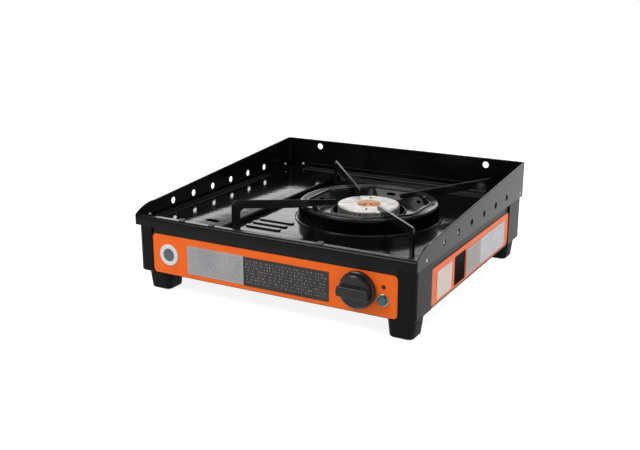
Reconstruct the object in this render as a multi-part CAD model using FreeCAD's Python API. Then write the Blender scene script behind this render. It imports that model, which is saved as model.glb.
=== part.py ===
import FreeCAD, Part
import math
import os

# Butane cassette stove with a square drip tray and a windscreen on three sides.
# Millimetres. X is to the right, Y to the back, Z up, and the feet stand on Z = 0.
# Sizes are worked out about the middle of the tray. Every piece is then moved back by
# the same amount, so that the origin lies under the middle of the whole stove, knob included.

V = FreeCAD.Vector

# Clearances and sheet
SHEET = 1.0
SLIDE_GAP = 0.3
SCREW_GAP = 0.2
SHAFT_GAP = 0.1

# Tray and windscreen
TRAY_WIDTH = 350.0
TRAY_DEPTH = 345.0
FLOOR_TOP = 72.0
LEDGE_RISE = 6.0
LEDGE_WIDTH = 7.0
RISER_LEAN = 2.0
TRAY_FLANGE = 7.0
TRAY_BEND = 1.6
LIP_TOP = 87.0
LIP_WIDTH = 11.0
LIP_LEAN = 5.0
LIP_BEND = 3.5
SKIRT_BOTTOM = 76.0
WALL_TOP_BACK = 119.5
WALL_TOP_FRONT = 97.5
WALL_NOSE_LENGTH = 37.0
WALL_NOSE_START = 88.0
WALL_CORNER = 4.0
HEM_HEIGHT = 4.0
SIDE_HOLE_RADIUS = 4.0
SIDE_HOLE_COUNT = 6
SIDE_HOLE_PITCH = 41.0
SIDE_HOLE_HEIGHT = 88.5
BACK_HOLE_RADIUS = 4.2
BACK_HOLE_SPACING = 246.0
BACK_HOLE_DROP = 9.0
RIVET_RADIUS = 1.6
RIVET_HEAD = 2.4
LIP_SCREW_INSETS = (61.0, 101.0, 238.0)
LIP_SCREW_HEAD = 3.6
LIP_SCREW_SHANK = 1.6
BAY_CORNER = 6.0
LIP_SCREW_RIM = 1.0
LIP_SCREW_DOME = 1.1
RIVET_DOME = 1.1
RIVET_TIP = 1.3
RIVET_INSET = 24.0
RIVET_INSET_BACK = 14.0
NOSE_MIDDLE_RUN = 11.8
NOSE_MIDDLE_RISE = 5.9
RIB_LENGTH = 46.0
RIB_WIDTH = 7.0
RIB_HEIGHT = 1.6
RIB_COUNT = 3
RIB_PITCH = 15.0
RIB_GAP = 33.0
RIB_Y = -88.0

# Housing
TRAY_OVERHANG = 2.0
FOOT_HEIGHT = 21.0
POST_WALL = 2.0
POST_WIDTH = 19.0
POST_FRONT_DEPTH = 43.0
POST_BACK_DEPTH = 46.0
POST_CORNER = 6.5
POST_CHAMFER = 1.4
PANEL_FLANGE = 7.0
BASE_RIM = 3.4
BASE_CORNER = 9.0
FOOT_SIZE = 32.0
FOOT_TAPER = 2.5
FOOT_INSET_LEFT = 8.0
FOOT_INSET_RIGHT = 1.5
FOOT_INSET_FRONT = 2.0
FOOT_INSET_BACK = 12.0
FOOT_CORNER = 9.0
FOOT_TOE = 2.0
FOOT_TOE_INSET = 1.2
FOOT_SCREW_HEAD = 4.0
FOOT_SCREW_SHANK = 2.0
FOOT_SCREW_RECESS = 7.0
FOOT_SCREW_ROOM = 1.0
FOOT_SCREW_RIM = 1.6
FOOT_SCREW_DOME = 0.8
FOOT_SCREW_REACH = 3.0

# Front and side trim
TRIM_SHEET = 1.0
BLANK_SHEET = 0.5
BLANK_CORNER = 0.8
FRONT_TRIM_GAP = 0.5
FRONT_TRIM_TOP = 68.0
FRONT_TRIM_CORNER = 5.0
BADGE_INSET = 44.0
BADGE_Z = 45.0
BADGE_RADIUS = 12.5
BADGE_CENTRE_RADIUS = 7.5
BADGE_RING_HEIGHT = 0.9
SILVER_BLANK_INSETS = (70.0, 145.1)
SILVER_BLANK_Z = (27.0, 60.0)
BLACK_BLANK_INSETS = (145.5, 99.4)
BLACK_BLANK_Z = (26.5, 59.5)
SIDE_TRIM_Z = (24.0, 65.0)
SIDE_TRIM_CORNER = 6.0
SIDE_OPENING_INSETS = (111.5, 145.5)
SIDE_OPENING_Z = (25.5, 59.5)
SIDE_OPENING_CORNER = 2.0
SIDE_PATCH_INSETS = (60.5, 102.5)
SIDE_GREY_INSETS = (147.5, 194.5)
SIDE_PALE_INSETS = (194.9, 64.5)
SIDE_BLANK_Z = (27.0, 58.0)

# Vents
VENT_WIDTH = 4.0
VENT_LENGTH = 22.0
VENT_PITCH = 11.0
BACK_VENT_COUNT = 12
SIDE_VENT_COUNT = 9
BASE_VENT_COUNT = 7
BASE_VENT_ROWS = 5
BASE_VENT_GAP = 10.0
SHIELD_VENT_COUNT = 8

# Burner
BURNER_OFFSET = 10.0
BURNER_Y = 0.0
HEAD_RADIUS = 37.0
HEAD_TOP = 88.0
HEAD_BOTTOM = 78.0
HEAD_WALL = 3.5
HEAD_ROUND = 1.8
HEAD_PLATE = 4.0
PORT_BASE = 1.2
TOP_SLOT_TURN = 20.0
PORT_COUNT = 36
PORT_WIDTH = 1.8
PORT_HEIGHT = 5.0
TOP_SLOT_COUNT = 4
TOP_SLOT_LENGTH = 9.0
TOP_SLOT_WIDTH = 2.2
TOP_SLOT_RADIUS = 26.0
CENTRE_RADIUS = 14.5
CENTRE_DOME = 2.0
CENTRE_SLOTS = 8
CENTRE_SLOT_REACH = (4.4, 12.3)
CENTRE_SLOT_WIDTH = 1.2
CENTRE_SLOT_DEPTH = 2.0
CUP_BOTTOM = 40.0
CUP_NECK = 21.0
CUP_WALL = 2.5
CUP_RIM_INSET = 1.0
CUP_ROUND = 5.0
CUP_DRAFT = 1.0
CUP_FLARE = 3.0
CUP_FLARE_Z = (70.0, 74.0)
MIXER_Z = 51.0
MIXER_RADIUS = 9.0
MIXER_WALL = 1.5
MIXER_BELL = 12.5
MIXER_INSET = 60.5
MIXER_BELL_LENGTH = 14.0
BURNER_HOLE = 56.0
BRIDGE_WIDTH = 30.0
BRIDGE_SPAN = 70.0
BRIDGE_FOOT = 14.0
BRIDGE_SHEET = 1.5
BRIDGE_LEAN = 6.0
BRIDGE_BEND = 3.0
BRACKET_BEND = 2.0

# Wind ring round the burner
RING_FOOT = 88.0
RING_OUTER = 84.0
RING_TOP_OUTER = 82.0
RING_TOP = 91.5
RING_MOUTH = 68.0
RING_MOUTH_CORNER = 12.0
RING_BOWL = 59.0
RING_BOWL_TOP = 78.0
RING_HOLE = 43.5
RING_LIP = 3.0
RING_BEVEL = 1.4
RING_BOWL_CORNER = 41.3
RING_SLOT_WIDTH = 3.0
RING_SLOT_LENGTH = 11.0

# Pan support
ARM_INSET_X = 28.0
ARM_INSET_Y = 51.5
ARM_INNER = 41.0
ARM_SHEET = 2.5
ARM_TOP_OUTER = 105.0
ARM_TOP_INNER = 95.5
ARM_LEG_WIDTH = 8.0
ARM_NECK = 7.5
ARM_TAB_WIDTH = 4.0
ARM_TAB_DEPTH = 3.0
ARM_TAB_GAP = 0.7
ARM_CORNER = 4.0
ARM_TIP = 1.4
ARM_GUSSET = 5.0
ARM_NECK_DROP = 1.0
ARM_BELLY = 6.0

# Gas cartridge and its bay
CAN_INSET = 58.0
CAN_Z = 43.0
CAN_RADIUS = 33.5
CAN_REAR = 104.0
CAN_LENGTH = 180.0
CAN_SHOULDER = 12.0
CAN_WALL = 0.8
CAN_NOSE_INSET = 9.0
CAN_NOSE_RISE = 2.5
CAN_NECK_INSET = 3.0
CAN_NECK_LENGTH = 4.0
CAN_SEAM_INSET = 0.4
CAN_SEAM_LENGTH = 2.4
CAN_BODY_INSET = 1.0
CAN_RIM_LENGTH = 3.2
CAN_RIM_ROUND = 0.8
CAN_RIM_WIDTH = 3.2
CAN_DISH_RADIUS = 16.8
CAN_DISH = 8.0
COLLAR_RADIUS = 19.0
COLLAR_WALL = 1.2
COLLAR_LENGTH = 8.0
COLLAR_NOTCH = 6.0
COLLAR_SEAT = 2.0
STEM_BOSS = 4.5
STEM_ROOM = 1.5
STEM_RADIUS = 2.0
STEM_LENGTH = 8.0
PULL_TRAVEL = 12.0
TROUGH_GAP = 3.0
BAY_GAP = 2.0
BAY_MARGIN = 3.0
SHIELD_GAP = 4.0
SHIELD_FOOT = 9.0
SHIELD_MARGIN = 3.0

# Lid over the cartridge
LID_HINGE_INSET = 16.0
LID_OVERLAP = 4.5
LID_INSET_FRONT = 26.5
LID_INSET_BACK = 22.5
LID_EDGE_TOP = 78.0
LID_CROWN = 1.6
LID_FREE_BEND = 2.5
LID_SKIRT_START = 4.0
HINGE_PIN_RADIUS = 1.5
KNUCKLE_WALL = 1.2
KNUCKLE_LENGTH = 26.0
HINGE_INSET = 42.0
PIN_HEAD_LENGTH = 0.9
PIN_HEAD_RADIUS = 2.2
EAR_SHEET = 1.2
EAR_WIDTH = 8.0
EAR_FOOT = 9.0
EAR_FOOT_SHEET = 0.7
EAR_INSET = 0.4
FINGER_INSET_SIDE = 21.0
FINGER_INSET_FRONT = 20.0
FINGER_LENGTH = 20.0
FINGER_WIDTH = 11.0
FINGER_DEPTH = 2.6

# Regulator, valve and gas tubes
REGULATOR_RADIUS = 20.0
REGULATOR_LENGTH = 13.0
REGULATOR_NECK = 12.0
REGULATOR_NECK_LENGTH = 14.0
MAGNET_INNER = 13.0
MAGNET_THICKNESS = 3.0
MAGNET_SINK = 0.1
MAGNET_WALL = 1.5
BRACKET_FOOT = 14.0
BRACKET_RISE = 5.0
BRACKET_HALF = 17.0
OUTLET_SETBACK = 7.5
OUTLET_RADIUS = 5.0
OUTLET_REACH = 24.0
TUBE_RADIUS = 2.0
TUBE_BEND = 12.0
TUBE_INSET = 28.5
TUBE_ROOM = 2.0
INLET_RUN = 30.0
JET_TUBE_BEND = 12.0
KNOB_INSET = 65.0
KNOB_Z = 47.0
KNOB_RADIUS = 20.0
KNOB_FRONT_RADIUS = 18.5
KNOB_LENGTH = 16.0
KNOB_SKIRT = 4.5
KNOB_GRIP_WIDTH = 11.0
KNOB_FLUTES = 16
KNOB_FLUTE_RADIUS = 1.8
KNOB_STANDOFF = 0.6
KNOB_EDGE = 0.8
KNOB_STEP = 0.6
KNOB_SHOULDER = 9.6
KNOB_FACE = 10.8
KNOB_FACE_INSET = 2.4
KNOB_GRIP_CORNER = 3.0
KNOB_GRIP_ROUND = 1.2
KNOB_FLUTE_OFFSET = 0.8
KNOB_KEY_START = 0.5
SPINDLE_RADIUS = 3.0
SPINDLE_FLAT = 1.0
SPINDLE_DEPTH = 12.0
SPINDLE_ROOM = 1.0
VALVE_RADIUS = 9.0
VALVE_LENGTH = 28.0
VALVE_FLANGE = 12.0
VALVE_FLANGE_SHEET = 2.0
VALVE_BOSS_WALL = 1.5
JET_BLOCK = 12.0
JET_BLOCK_HEIGHT = 14.0
JET_GAP = 3.0
JET_NOZZLE = 4.0
JET_NOZZLE_RADII = (4.5, 1.8)
JET_FOOT = 12.0

# Piezo igniter
PUSH_INSET = 37.5
PUSH_Z = 40.0
PUSH_RADIUS = 5.0
PUSH_LENGTH = 18.0
PUSH_PROUD = 5.5
PUSH_TRAVEL = 4.0
PUSH_DOME = 1.8
BEZEL_RADIUS = 6.6
BEZEL_HEIGHT = 1.2
PIEZO_RADIUS = 7.0
PIEZO_LENGTH = 44.0
PIEZO_FLANGE = 9.5
PIEZO_FLANGE_SHEET = 2.0
ELECTRODE_X = 40.0
ELECTRODE_TURN = 20.0
ELECTRODE_RADIUS = 2.5
ELECTRODE_TOP = 84.0
ELECTRODE_BOTTOM = 52.0
ELECTRODE_WIRE = 0.8
ELECTRODE_STEP = 0.5
ELECTRODE_NECK = 14.0
ELECTRODE_PROUD = 2.5
CLIP_RISE = 6.0
CLIP_SHEET = 1.2
CLIP_HALF = 4.0
CLIP_END = 2.0
LEAD_RADIUS = 1.2
LEAD_BEND = 14.0
LEAD_RUN = 30.0
LEAD_DROP = 22.0
LEAD_CORNER = (34.0, -18.0)

# Working values for cutting and rounding
SPARE = 5.0
OVERCUT = 1.0
TOUCH = 0.1
EDGE_BREAK = 0.4
DOME_STEPS = 4
ARC_MIDDLE = 1 - math.sqrt(0.5)

# Planes that follow from the sizes above
HALF_W = TRAY_WIDTH / 2
HALF_D = TRAY_DEPTH / 2
LIP_SCREW_X = tuple(-HALF_W + inset for inset in LIP_SCREW_INSETS)
BADGE_X = -HALF_W + BADGE_INSET
SILVER_BLANK_X = (-HALF_W + SILVER_BLANK_INSETS[0], -HALF_W + SILVER_BLANK_INSETS[1])
BLACK_BLANK_X = (-HALF_W + BLACK_BLANK_INSETS[0], HALF_W - BLACK_BLANK_INSETS[1])
KNOB_X = HALF_W - KNOB_INSET
PUSH_X = HALF_W - PUSH_INSET
SIDE_OPENING_Y = (-HALF_D + SIDE_OPENING_INSETS[0], -HALF_D + SIDE_OPENING_INSETS[1])
SIDE_BLANKS = {
    "side_patch": (-HALF_D + SIDE_PATCH_INSETS[0], -HALF_D + SIDE_PATCH_INSETS[1]),
    "side_grey_blank": (-HALF_D + SIDE_GREY_INSETS[0], -HALF_D + SIDE_GREY_INSETS[1]),
    "side_pale_blank": (-HALF_D + SIDE_PALE_INSETS[0], HALF_D - SIDE_PALE_INSETS[1]),
}
CAN_X = -HALF_W + CAN_INSET
LID_HINGE_X = -HALF_W + LID_HINGE_INSET
LID_FREE_X = CAN_X + CAN_RADIUS + LID_OVERLAP
LID_FRONT = -HALF_D + LID_INSET_FRONT
LID_REAR = HALF_D - LID_INSET_BACK
HINGE_Y = (LID_FRONT + HINGE_INSET, LID_REAR - HINGE_INSET)
FINGER_X = LID_FREE_X - FINGER_INSET_SIDE
FINGER_Y = LID_FRONT + FINGER_INSET_FRONT
SHIELD_X = CAN_X + CAN_RADIUS + SHIELD_GAP
BURNER_X = (LID_FREE_X + HALF_W) / 2 - BURNER_OFFSET
ARM_REACH_X = HALF_W - BURNER_X - ARM_INSET_X
ARM_REACH_Y = HALF_D - ARM_INSET_Y
MIXER_LENGTH = HALF_D - MIXER_INSET
TUBE_FRONT = -HALF_D + TUBE_INSET
RIB_X = LID_FREE_X + RIB_GAP
TRAY_X = HALF_W - SHEET
TRAY_Y = HALF_D - SHEET
HOUSE_X = HALF_W - TRAY_OVERHANG
HOUSE_Y = HALF_D - TRAY_OVERHANG
PANEL_X = HOUSE_X - POST_WALL
PANEL_Y = HOUSE_Y - POST_WALL
FLOOR_BOTTOM = FLOOR_TOP - SHEET
LEDGE_TOP = FLOOR_TOP + LEDGE_RISE
PANEL_TOP = LEDGE_TOP - SHEET
BASE_TOP = FOOT_HEIGHT + SHEET
TRIM_FACE = PANEL_Y + TRIM_SHEET
SIDE_TRIM_FACE = PANEL_X + TRIM_SHEET
KNOB_BACK = -TRIM_FACE - KNOB_STANDOFF
KNOB_FRONT = KNOB_BACK - KNOB_LENGTH
CENTRE_SHIFT = -(KNOB_FRONT + HALF_D) / 2
CAN_FRONT = CAN_REAR - CAN_LENGTH
COLLAR_FRONT = CAN_FRONT - CAN_SHOULDER - COLLAR_LENGTH
REGULATOR_FACE = COLLAR_FRONT - SLIDE_GAP
HINGE_BORE = HINGE_PIN_RADIUS + SHAFT_GAP
KNUCKLE_RADIUS = HINGE_BORE + KNUCKLE_WALL
HINGE_Z = LID_EDGE_TOP - KNUCKLE_RADIUS
SPLIT_X = SHIELD_X - SHEET / 2
REGULATOR_END = REGULATOR_FACE - REGULATOR_LENGTH - REGULATOR_NECK_LENGTH
TROUGH_FRONT = CAN_FRONT - CAN_SHOULDER - TROUGH_GAP
TROUGH_REAR = CAN_REAR + PULL_TRAVEL + TROUGH_GAP
BAY_FRONT = REGULATOR_END - BAY_MARGIN
BAY_REAR = TROUGH_REAR + BAY_MARGIN


def write(name, shape):
    """Moves a finished piece under the stove's own origin and saves it."""
    placed = shape.copy()
    placed.translate(V(0, CENTRE_SHIFT, 0))
    placed.exportStep("parts/" + name + ".step")


def dome_points(radius, base, rise):
    """Half outline of a shallow dome, from its rim to the axis, as a quarter of an ellipse."""
    points = []
    for i in range(DOME_STEPS):
        angle = math.pi / 2 * i / DOME_STEPS
        points.append((radius * math.cos(angle), base + rise * math.sin(angle)))
    points.append((0, base + rise))
    return points


def box(x, y, z):
    """Block between pairs of coordinates."""
    return Part.makeBox(x[1] - x[0], y[1] - y[0], z[1] - z[0], V(x[0], y[0], z[0]))


def rounded_box(x, y, z, radius, along="z"):
    """Block whose four edges along one axis are rounded."""
    block = box(x, y, z)
    axis = {"x": V(1, 0, 0), "y": V(0, 1, 0), "z": V(0, 0, 1)}[along]
    edges = []
    for edge in block.Edges:
        direction = edge.tangentAt(edge.FirstParameter)
        if abs(direction.dot(axis)) > 0.9:
            edges.append(edge)
    return block.makeFillet(radius, edges)


def rod(start, end, radius):
    """Round bar between two points."""
    line = end - start
    return Part.makeCylinder(radius, line.Length, start, line)


def tube(start, end, outer, inner):
    """Round bar with a bore right through."""
    line = end - start
    reach = line * (1.0 / line.Length)
    return rod(start, end, outer).cut(rod(start - reach, end + reach, inner))


def on_plane(plane, level, u, v):
    """Point at (u, v) on the plane named by its two axes."""
    if plane == "xz":
        return V(u, level, v)
    if plane == "yz":
        return V(level, u, v)
    return V(u, v, level)


def plane_normal(plane, length):
    """Step square to the plane named by its two axes."""
    if plane == "xz":
        return V(0, length, 0)
    if plane == "yz":
        return V(length, 0, 0)
    return V(0, 0, length)


def prism(points, plane, low, high):
    """Straight-sided outline carried from one level to another."""
    corners = [on_plane(plane, low, u, v) for u, v in points]
    face = Part.Face(Part.makePolygon(corners + corners[:1]))
    return face.extrude(plane_normal(plane, high - low))


def side_of_bend(points, bend, offset):
    """One face of a bent sheet, as runs and arcs at an offset to the left of its middle line."""
    runs = []
    for a, b in zip(points, points[1:]):
        length = math.hypot(b[0] - a[0], b[1] - a[1])
        runs.append(((b[0] - a[0]) / length, (b[1] - a[1]) / length))
    trims = [0.0]
    turns = [0.0]
    for d, e in zip(runs, runs[1:]):
        turn = math.atan2(d[0] * e[1] - d[1] * e[0], d[0] * e[0] + d[1] * e[1])
        turns.append(turn)
        trims.append(bend * math.tan(abs(turn) / 2))
    trims.append(0.0)
    moves = []
    for i, d in enumerate(runs):
        a, b = points[i], points[i + 1]
        normal = (-d[1], d[0])
        begin = (a[0] + d[0] * trims[i], a[1] + d[1] * trims[i])
        end = (b[0] - d[0] * trims[i + 1], b[1] - d[1] * trims[i + 1])
        if i > 0:
            sign = math.copysign(1.0, turns[i])
            centre = (begin[0] + normal[0] * bend * sign, begin[1] + normal[1] * bend * sign)
            out = (a[0] - centre[0], a[1] - centre[1])
            reach = (bend - sign * offset) / math.hypot(out[0], out[1])
            middle = (centre[0] + out[0] * reach, centre[1] + out[1] * reach)
            moves.append(("arc", middle))
        moves.append(("run", (begin[0] + normal[0] * offset, begin[1] + normal[1] * offset),
                      (end[0] + normal[0] * offset, end[1] + normal[1] * offset)))
    return moves


def bent_sheet(points, bend, thickness, plane, low, high):
    """Sheet folded along its middle line with round bends, carried from one level to another."""
    left = side_of_bend(points, bend, thickness / 2)
    right = side_of_bend(points, bend, -thickness / 2)

    def at(point):
        return on_plane(plane, low, point[0], point[1])

    edges = []
    for i, move in enumerate(left):
        if move[0] == "run":
            edges.append(Part.LineSegment(at(move[1]), at(move[2])).toShape())
        else:
            edges.append(Part.Arc(at(left[i - 1][2]), at(move[1]), at(left[i + 1][1])).toShape())
    edges.append(Part.LineSegment(at(left[-1][2]), at(right[-1][2])).toShape())
    for i in range(len(right) - 1, -1, -1):
        move = right[i]
        if move[0] == "run":
            edges.append(Part.LineSegment(at(move[2]), at(move[1])).toShape())
        else:
            edges.append(Part.Arc(at(right[i + 1][1]), at(move[1]), at(right[i - 1][2])).toShape())
    edges.append(Part.LineSegment(at(right[0][1]), at(left[0][1])).toShape())
    face = Part.Face(Part.Wire(edges))
    return face.extrude(plane_normal(plane, high - low))


def turned(points, centre, along="z"):
    """Outline of (radius, height) points spun into a solid about an axis through the centre."""
    corners = [V(r, 0, h) for r, h in points]
    face = Part.Face(Part.makePolygon(corners + corners[:1]))
    solid = face.revolve(V(0, 0, 0), V(0, 0, 1), 360)
    if along == "y":
        solid.rotate(V(0, 0, 0), V(1, 0, 0), -90)
    solid.translate(centre)
    return solid


def stadium(plane, low, high, centre, length, width, angle=0.0):
    """Cutter with two straight sides and two round ends, its long side at an angle to the first axis."""
    half = (length - width) / 2
    radius = width / 2
    c, s = math.cos(math.radians(angle)), math.sin(math.radians(angle))

    def at(u, v):
        return on_plane(plane, low, centre[0] + u * c - v * s, centre[1] + u * s + v * c)

    edges = [
        Part.LineSegment(at(-half, -radius), at(half, -radius)).toShape(),
        Part.Arc(at(half, -radius), at(half + radius, 0), at(half, radius)).toShape(),
        Part.LineSegment(at(half, radius), at(-half, radius)).toShape(),
        Part.Arc(at(-half, radius), at(-half - radius, 0), at(-half, -radius)).toShape(),
    ]
    return Part.Face(Part.Wire(edges)).extrude(plane_normal(plane, high - low))


def vent_row(plane, low, high, middle, height, count):
    """Cutters for a row of upright vent slots."""
    cutters = []
    for i in range(count):
        place = middle + (i - (count - 1) / 2) * VENT_PITCH
        cutters.append(stadium(plane, low, high, (place, height), VENT_LENGTH, VENT_WIDTH, 90))
    return cutters


def mirrored(shape, plane_axis):
    """Copy of a piece on the other side of the stove."""
    normal = V(1, 0, 0) if plane_axis == "x" else V(0, 1, 0)
    return shape.mirror(V(0, 0, 0), normal)


def pipe(points, bend, radius):
    """Tube along straight runs joined by tangent arcs."""
    edges = []
    last = points[0]
    for i in range(1, len(points) - 1):
        before = (points[i - 1] - points[i]).normalize()
        after = (points[i + 1] - points[i]).normalize()
        turn = math.pi - before.getAngle(after)
        trim = bend * math.tan(turn / 2)
        start = points[i] + before * trim
        end = points[i] + after * trim
        inward = (before + after).normalize()
        middle = points[i] + inward * (bend / math.cos(turn / 2) - bend)
        edges.append(Part.LineSegment(last, start).toShape())
        edges.append(Part.Arc(start, middle, end).toShape())
        last = end
    edges.append(Part.LineSegment(last, points[-1]).toShape())
    path = Part.Wire(edges)
    ring = Part.Wire(Part.makeCircle(radius, points[0], points[1] - points[0]))
    return path.makePipeShell([ring], True, False)


# Where the pan-support arms stand


def arm_ends():
    """Plan directions of the four arms, by the corner each one points to."""
    return {
        "front_left": (-1, -1),
        "front_right": (1, -1),
        "back_left": (-1, 1),
        "back_right": (1, 1),
    }


def arm_reach():
    """Distance from the burner's axis to the middle of a leg."""
    return math.hypot(ARM_REACH_X, ARM_REACH_Y)


def turn_to_arm(shape, corner):
    """Turns a piece drawn along +X about the burner's axis until it points to a corner."""
    sx, sy = corner
    angle = math.degrees(math.atan2(sy * ARM_REACH_Y, sx * ARM_REACH_X))
    shape.rotate(V(0, 0, 0), V(0, 0, 1), angle)
    shape.translate(V(BURNER_X, BURNER_Y, 0))
    return shape


# Tray


def tray_rim(edge_distance, reach, plane, side):
    """Pressed edge of the tray: floor, leaning riser, ledge and upright flange."""
    middle = SHEET / 2
    flange_line = edge_distance - middle
    riser_top = edge_distance - LEDGE_WIDTH - middle
    riser_foot = riser_top - RISER_LEAN
    points = [
        (side * (riser_foot - 2 * RISER_LEAN), FLOOR_TOP - middle),
        (side * riser_foot, FLOOR_TOP - middle),
        (side * riser_top, LEDGE_TOP - middle),
        (side * flange_line, LEDGE_TOP - middle),
        (side * flange_line, LEDGE_TOP + TRAY_FLANGE),
    ]
    return bent_sheet(points, TRAY_BEND, SHEET, plane, -reach, reach)


def tray_lip():
    """Front edge of the tray, folded up, over and down in front of the housing."""
    middle = SHEET / 2
    outer = -HALF_D + middle
    inner_top = outer + LIP_WIDTH
    inner_foot = inner_top + LIP_LEAN
    points = [
        (inner_foot + 2 * LIP_LEAN, FLOOR_TOP - middle),
        (inner_foot, FLOOR_TOP - middle),
        (inner_top, LIP_TOP - middle),
        (outer, LIP_TOP - middle),
        (outer, SKIRT_BOTTOM),
    ]
    lip = bent_sheet(points, LIP_BEND, SHEET, "yz", -TRAY_X, TRAY_X)
    ends = []
    inner_end = TRAY_X - LEDGE_WIDTH + SHEET / 2
    for x in ((-HALF_W, -inner_end), (inner_end, HALF_W)):
        ends.append(box(x, (-HALF_D + SHEET, 0), (0, PANEL_TOP)))
    return lip.cut(ends), inner_foot


def tray_ribs():
    """Three long ribs pressed up in the floor, as solids to add and hollows to cut."""
    ribs = []
    hollows = []
    for i in range(RIB_COUNT):
        centre = (RIB_X, RIB_Y - (i - (RIB_COUNT - 1) / 2) * RIB_PITCH)
        ribs.append(stadium("xy", FLOOR_TOP - SHEET, FLOOR_TOP + RIB_HEIGHT, centre, RIB_LENGTH,
                            RIB_WIDTH))
        hollows.append(stadium("xy", FLOOR_BOTTOM - SHEET, FLOOR_TOP + RIB_HEIGHT - SHEET, centre,
                               RIB_LENGTH - 2 * SHEET, RIB_WIDTH - 2 * SHEET))
    return ribs, hollows


def bay_edges():
    """Left and right edges of the tray's opening over the cartridge."""
    return CAN_X - CAN_RADIUS - BAY_GAP, CAN_X + CAN_RADIUS + BAY_GAP


def make_tray():
    """Pressed tray with a lip in front, ledges on three sides and its two large openings."""
    lip, lip_foot = tray_lip()
    riser_foot_x = TRAY_X - LEDGE_WIDTH - SHEET / 2 - RISER_LEAN
    riser_foot_y = TRAY_Y - LEDGE_WIDTH - SHEET / 2 - RISER_LEAN
    floor = box((-riser_foot_x + RISER_LEAN, riser_foot_x - RISER_LEAN),
                (lip_foot + LIP_LEAN, riser_foot_y - RISER_LEAN),
                (FLOOR_BOTTOM, FLOOR_TOP))
    far = 2 * TRAY_WIDTH
    offset = TRAY_X - TRAY_Y
    right_zone = prism([(offset, -far), (offset, 0), (TRAY_X, TRAY_Y), (far, TRAY_Y), (far, -far)],
                       "xy", 0, far)
    back_zone = prism([(0, -offset), (TRAY_X, TRAY_Y), (TRAY_X, far), (-TRAY_X, far), (-TRAY_X, TRAY_Y)],
                      "xy", 0, far)
    front_cut = box((-far, far), (-far, lip_foot + LIP_LEAN), (0, far))
    right = tray_rim(TRAY_X, far / 2, "xz", 1).common(right_zone).cut(front_cut)
    left = mirrored(right, "x")
    back = tray_rim(TRAY_Y, far / 2, "yz", 1).common(back_zone)
    side_front = box((riser_foot_x - RISER_LEAN, TRAY_X), (-HALF_D + SHEET, lip_foot + LIP_LEAN),
                     (0, far))
    under_lip = box((0, HALF_W), (-HALF_D, lip_foot - LIP_LEAN / 2), (0, PANEL_TOP))
    right_front = tray_rim(TRAY_X, far / 2, "xz", 1).common(side_front).cut(under_lip)
    left_front = mirrored(right_front, "x")
    ribs, hollows = tray_ribs()
    tray = floor.fuse([right, left, back, lip, right_front, left_front] + ribs)
    left_edge, right_edge = bay_edges()
    cutters = list(hollows)
    cutters.append(rounded_box((left_edge, right_edge), (BAY_FRONT, BAY_REAR),
                               (FLOOR_BOTTOM - SPARE, FLOOR_TOP + SPARE), BAY_CORNER))
    cutters.append(rod(V(BURNER_X, BURNER_Y, FLOOR_BOTTOM - SPARE),
                       V(BURNER_X, BURNER_Y, FLOOR_TOP + SPARE),
                       BURNER_HOLE))
    slot_length = ARM_TAB_WIDTH + 2 * ARM_TAB_GAP
    slot_width = ARM_SHEET + 2 * ARM_TAB_GAP
    for corner in arm_ends().values():
        reach = arm_reach()
        slot = box((reach - slot_length / 2, reach + slot_length / 2), (-slot_width / 2, slot_width / 2),
                   (FLOOR_BOTTOM - SPARE, FLOOR_TOP + SPARE))
        cutters.append(turn_to_arm(slot, corner))
    for x in LIP_SCREW_X:
        cutters.append(rod(V(x, lip_screw_y(), LIP_TOP - 3 * SHEET), V(x, lip_screw_y(), LIP_TOP + SHEET),
                           LIP_SCREW_SHANK + SCREW_GAP))
    for start, end in rivet_lines():
        cutters.append(rod(start, end, RIVET_RADIUS + SHAFT_GAP))
    outline = rounded_box((-TRAY_X, TRAY_X), (-TRAY_DEPTH, TRAY_Y), (0, TRAY_WIDTH), WALL_CORNER)
    return tray.cut(cutters).common(outline).removeSplitter()


def lip_screw_y():
    """Depth of the screws through the lip, over the front panel's top flange."""
    return -PANEL_Y + PANEL_FLANGE / 2


def make_lip_screws():
    """Dome-headed screws that hold the lip down to the front panel."""
    screws = []
    for x in LIP_SCREW_X:
        points = [
            (0, PANEL_TOP - 4 * SHEET),
            (LIP_SCREW_SHANK, PANEL_TOP - 4 * SHEET),
            (LIP_SCREW_SHANK, LIP_TOP),
            (LIP_SCREW_HEAD, LIP_TOP),
        ]
        points += dome_points(LIP_SCREW_HEAD, LIP_TOP + LIP_SCREW_RIM, LIP_SCREW_DOME)
        screws.append(turned(points, V(x, lip_screw_y(), 0)))
    return Part.makeCompound(screws)


# Windscreen


def wall_outline():
    """Side view of the windscreen: a low front end that curves up, then a straight slope to the back."""
    front = -HALF_D
    knee = front + WALL_NOSE_LENGTH
    return front, knee


def wall_side_face(level, drop):
    """Upright face with the windscreen's side outline, its top edge lowered by a drop."""
    front, knee = wall_outline()

    def at(y, z):
        return on_plane("yz", level, y, z)

    start = at(front, WALL_NOSE_START - drop)
    middle = at(front + NOSE_MIDDLE_RUN, WALL_NOSE_START + NOSE_MIDDLE_RISE - drop)
    knee_point = at(knee, WALL_TOP_FRONT - drop)
    edges = [
        Part.LineSegment(at(front, SKIRT_BOTTOM), start).toShape(),
        Part.Arc(start, middle, knee_point).toShape(),
        Part.LineSegment(knee_point, at(HALF_D, WALL_TOP_BACK - drop)).toShape(),
        Part.LineSegment(at(HALF_D, WALL_TOP_BACK - drop), at(HALF_D, SKIRT_BOTTOM)).toShape(),
        Part.LineSegment(at(HALF_D, SKIRT_BOTTOM), at(front, SKIRT_BOTTOM)).toShape(),
    ]
    return Part.Face(Part.Wire(edges))


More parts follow.
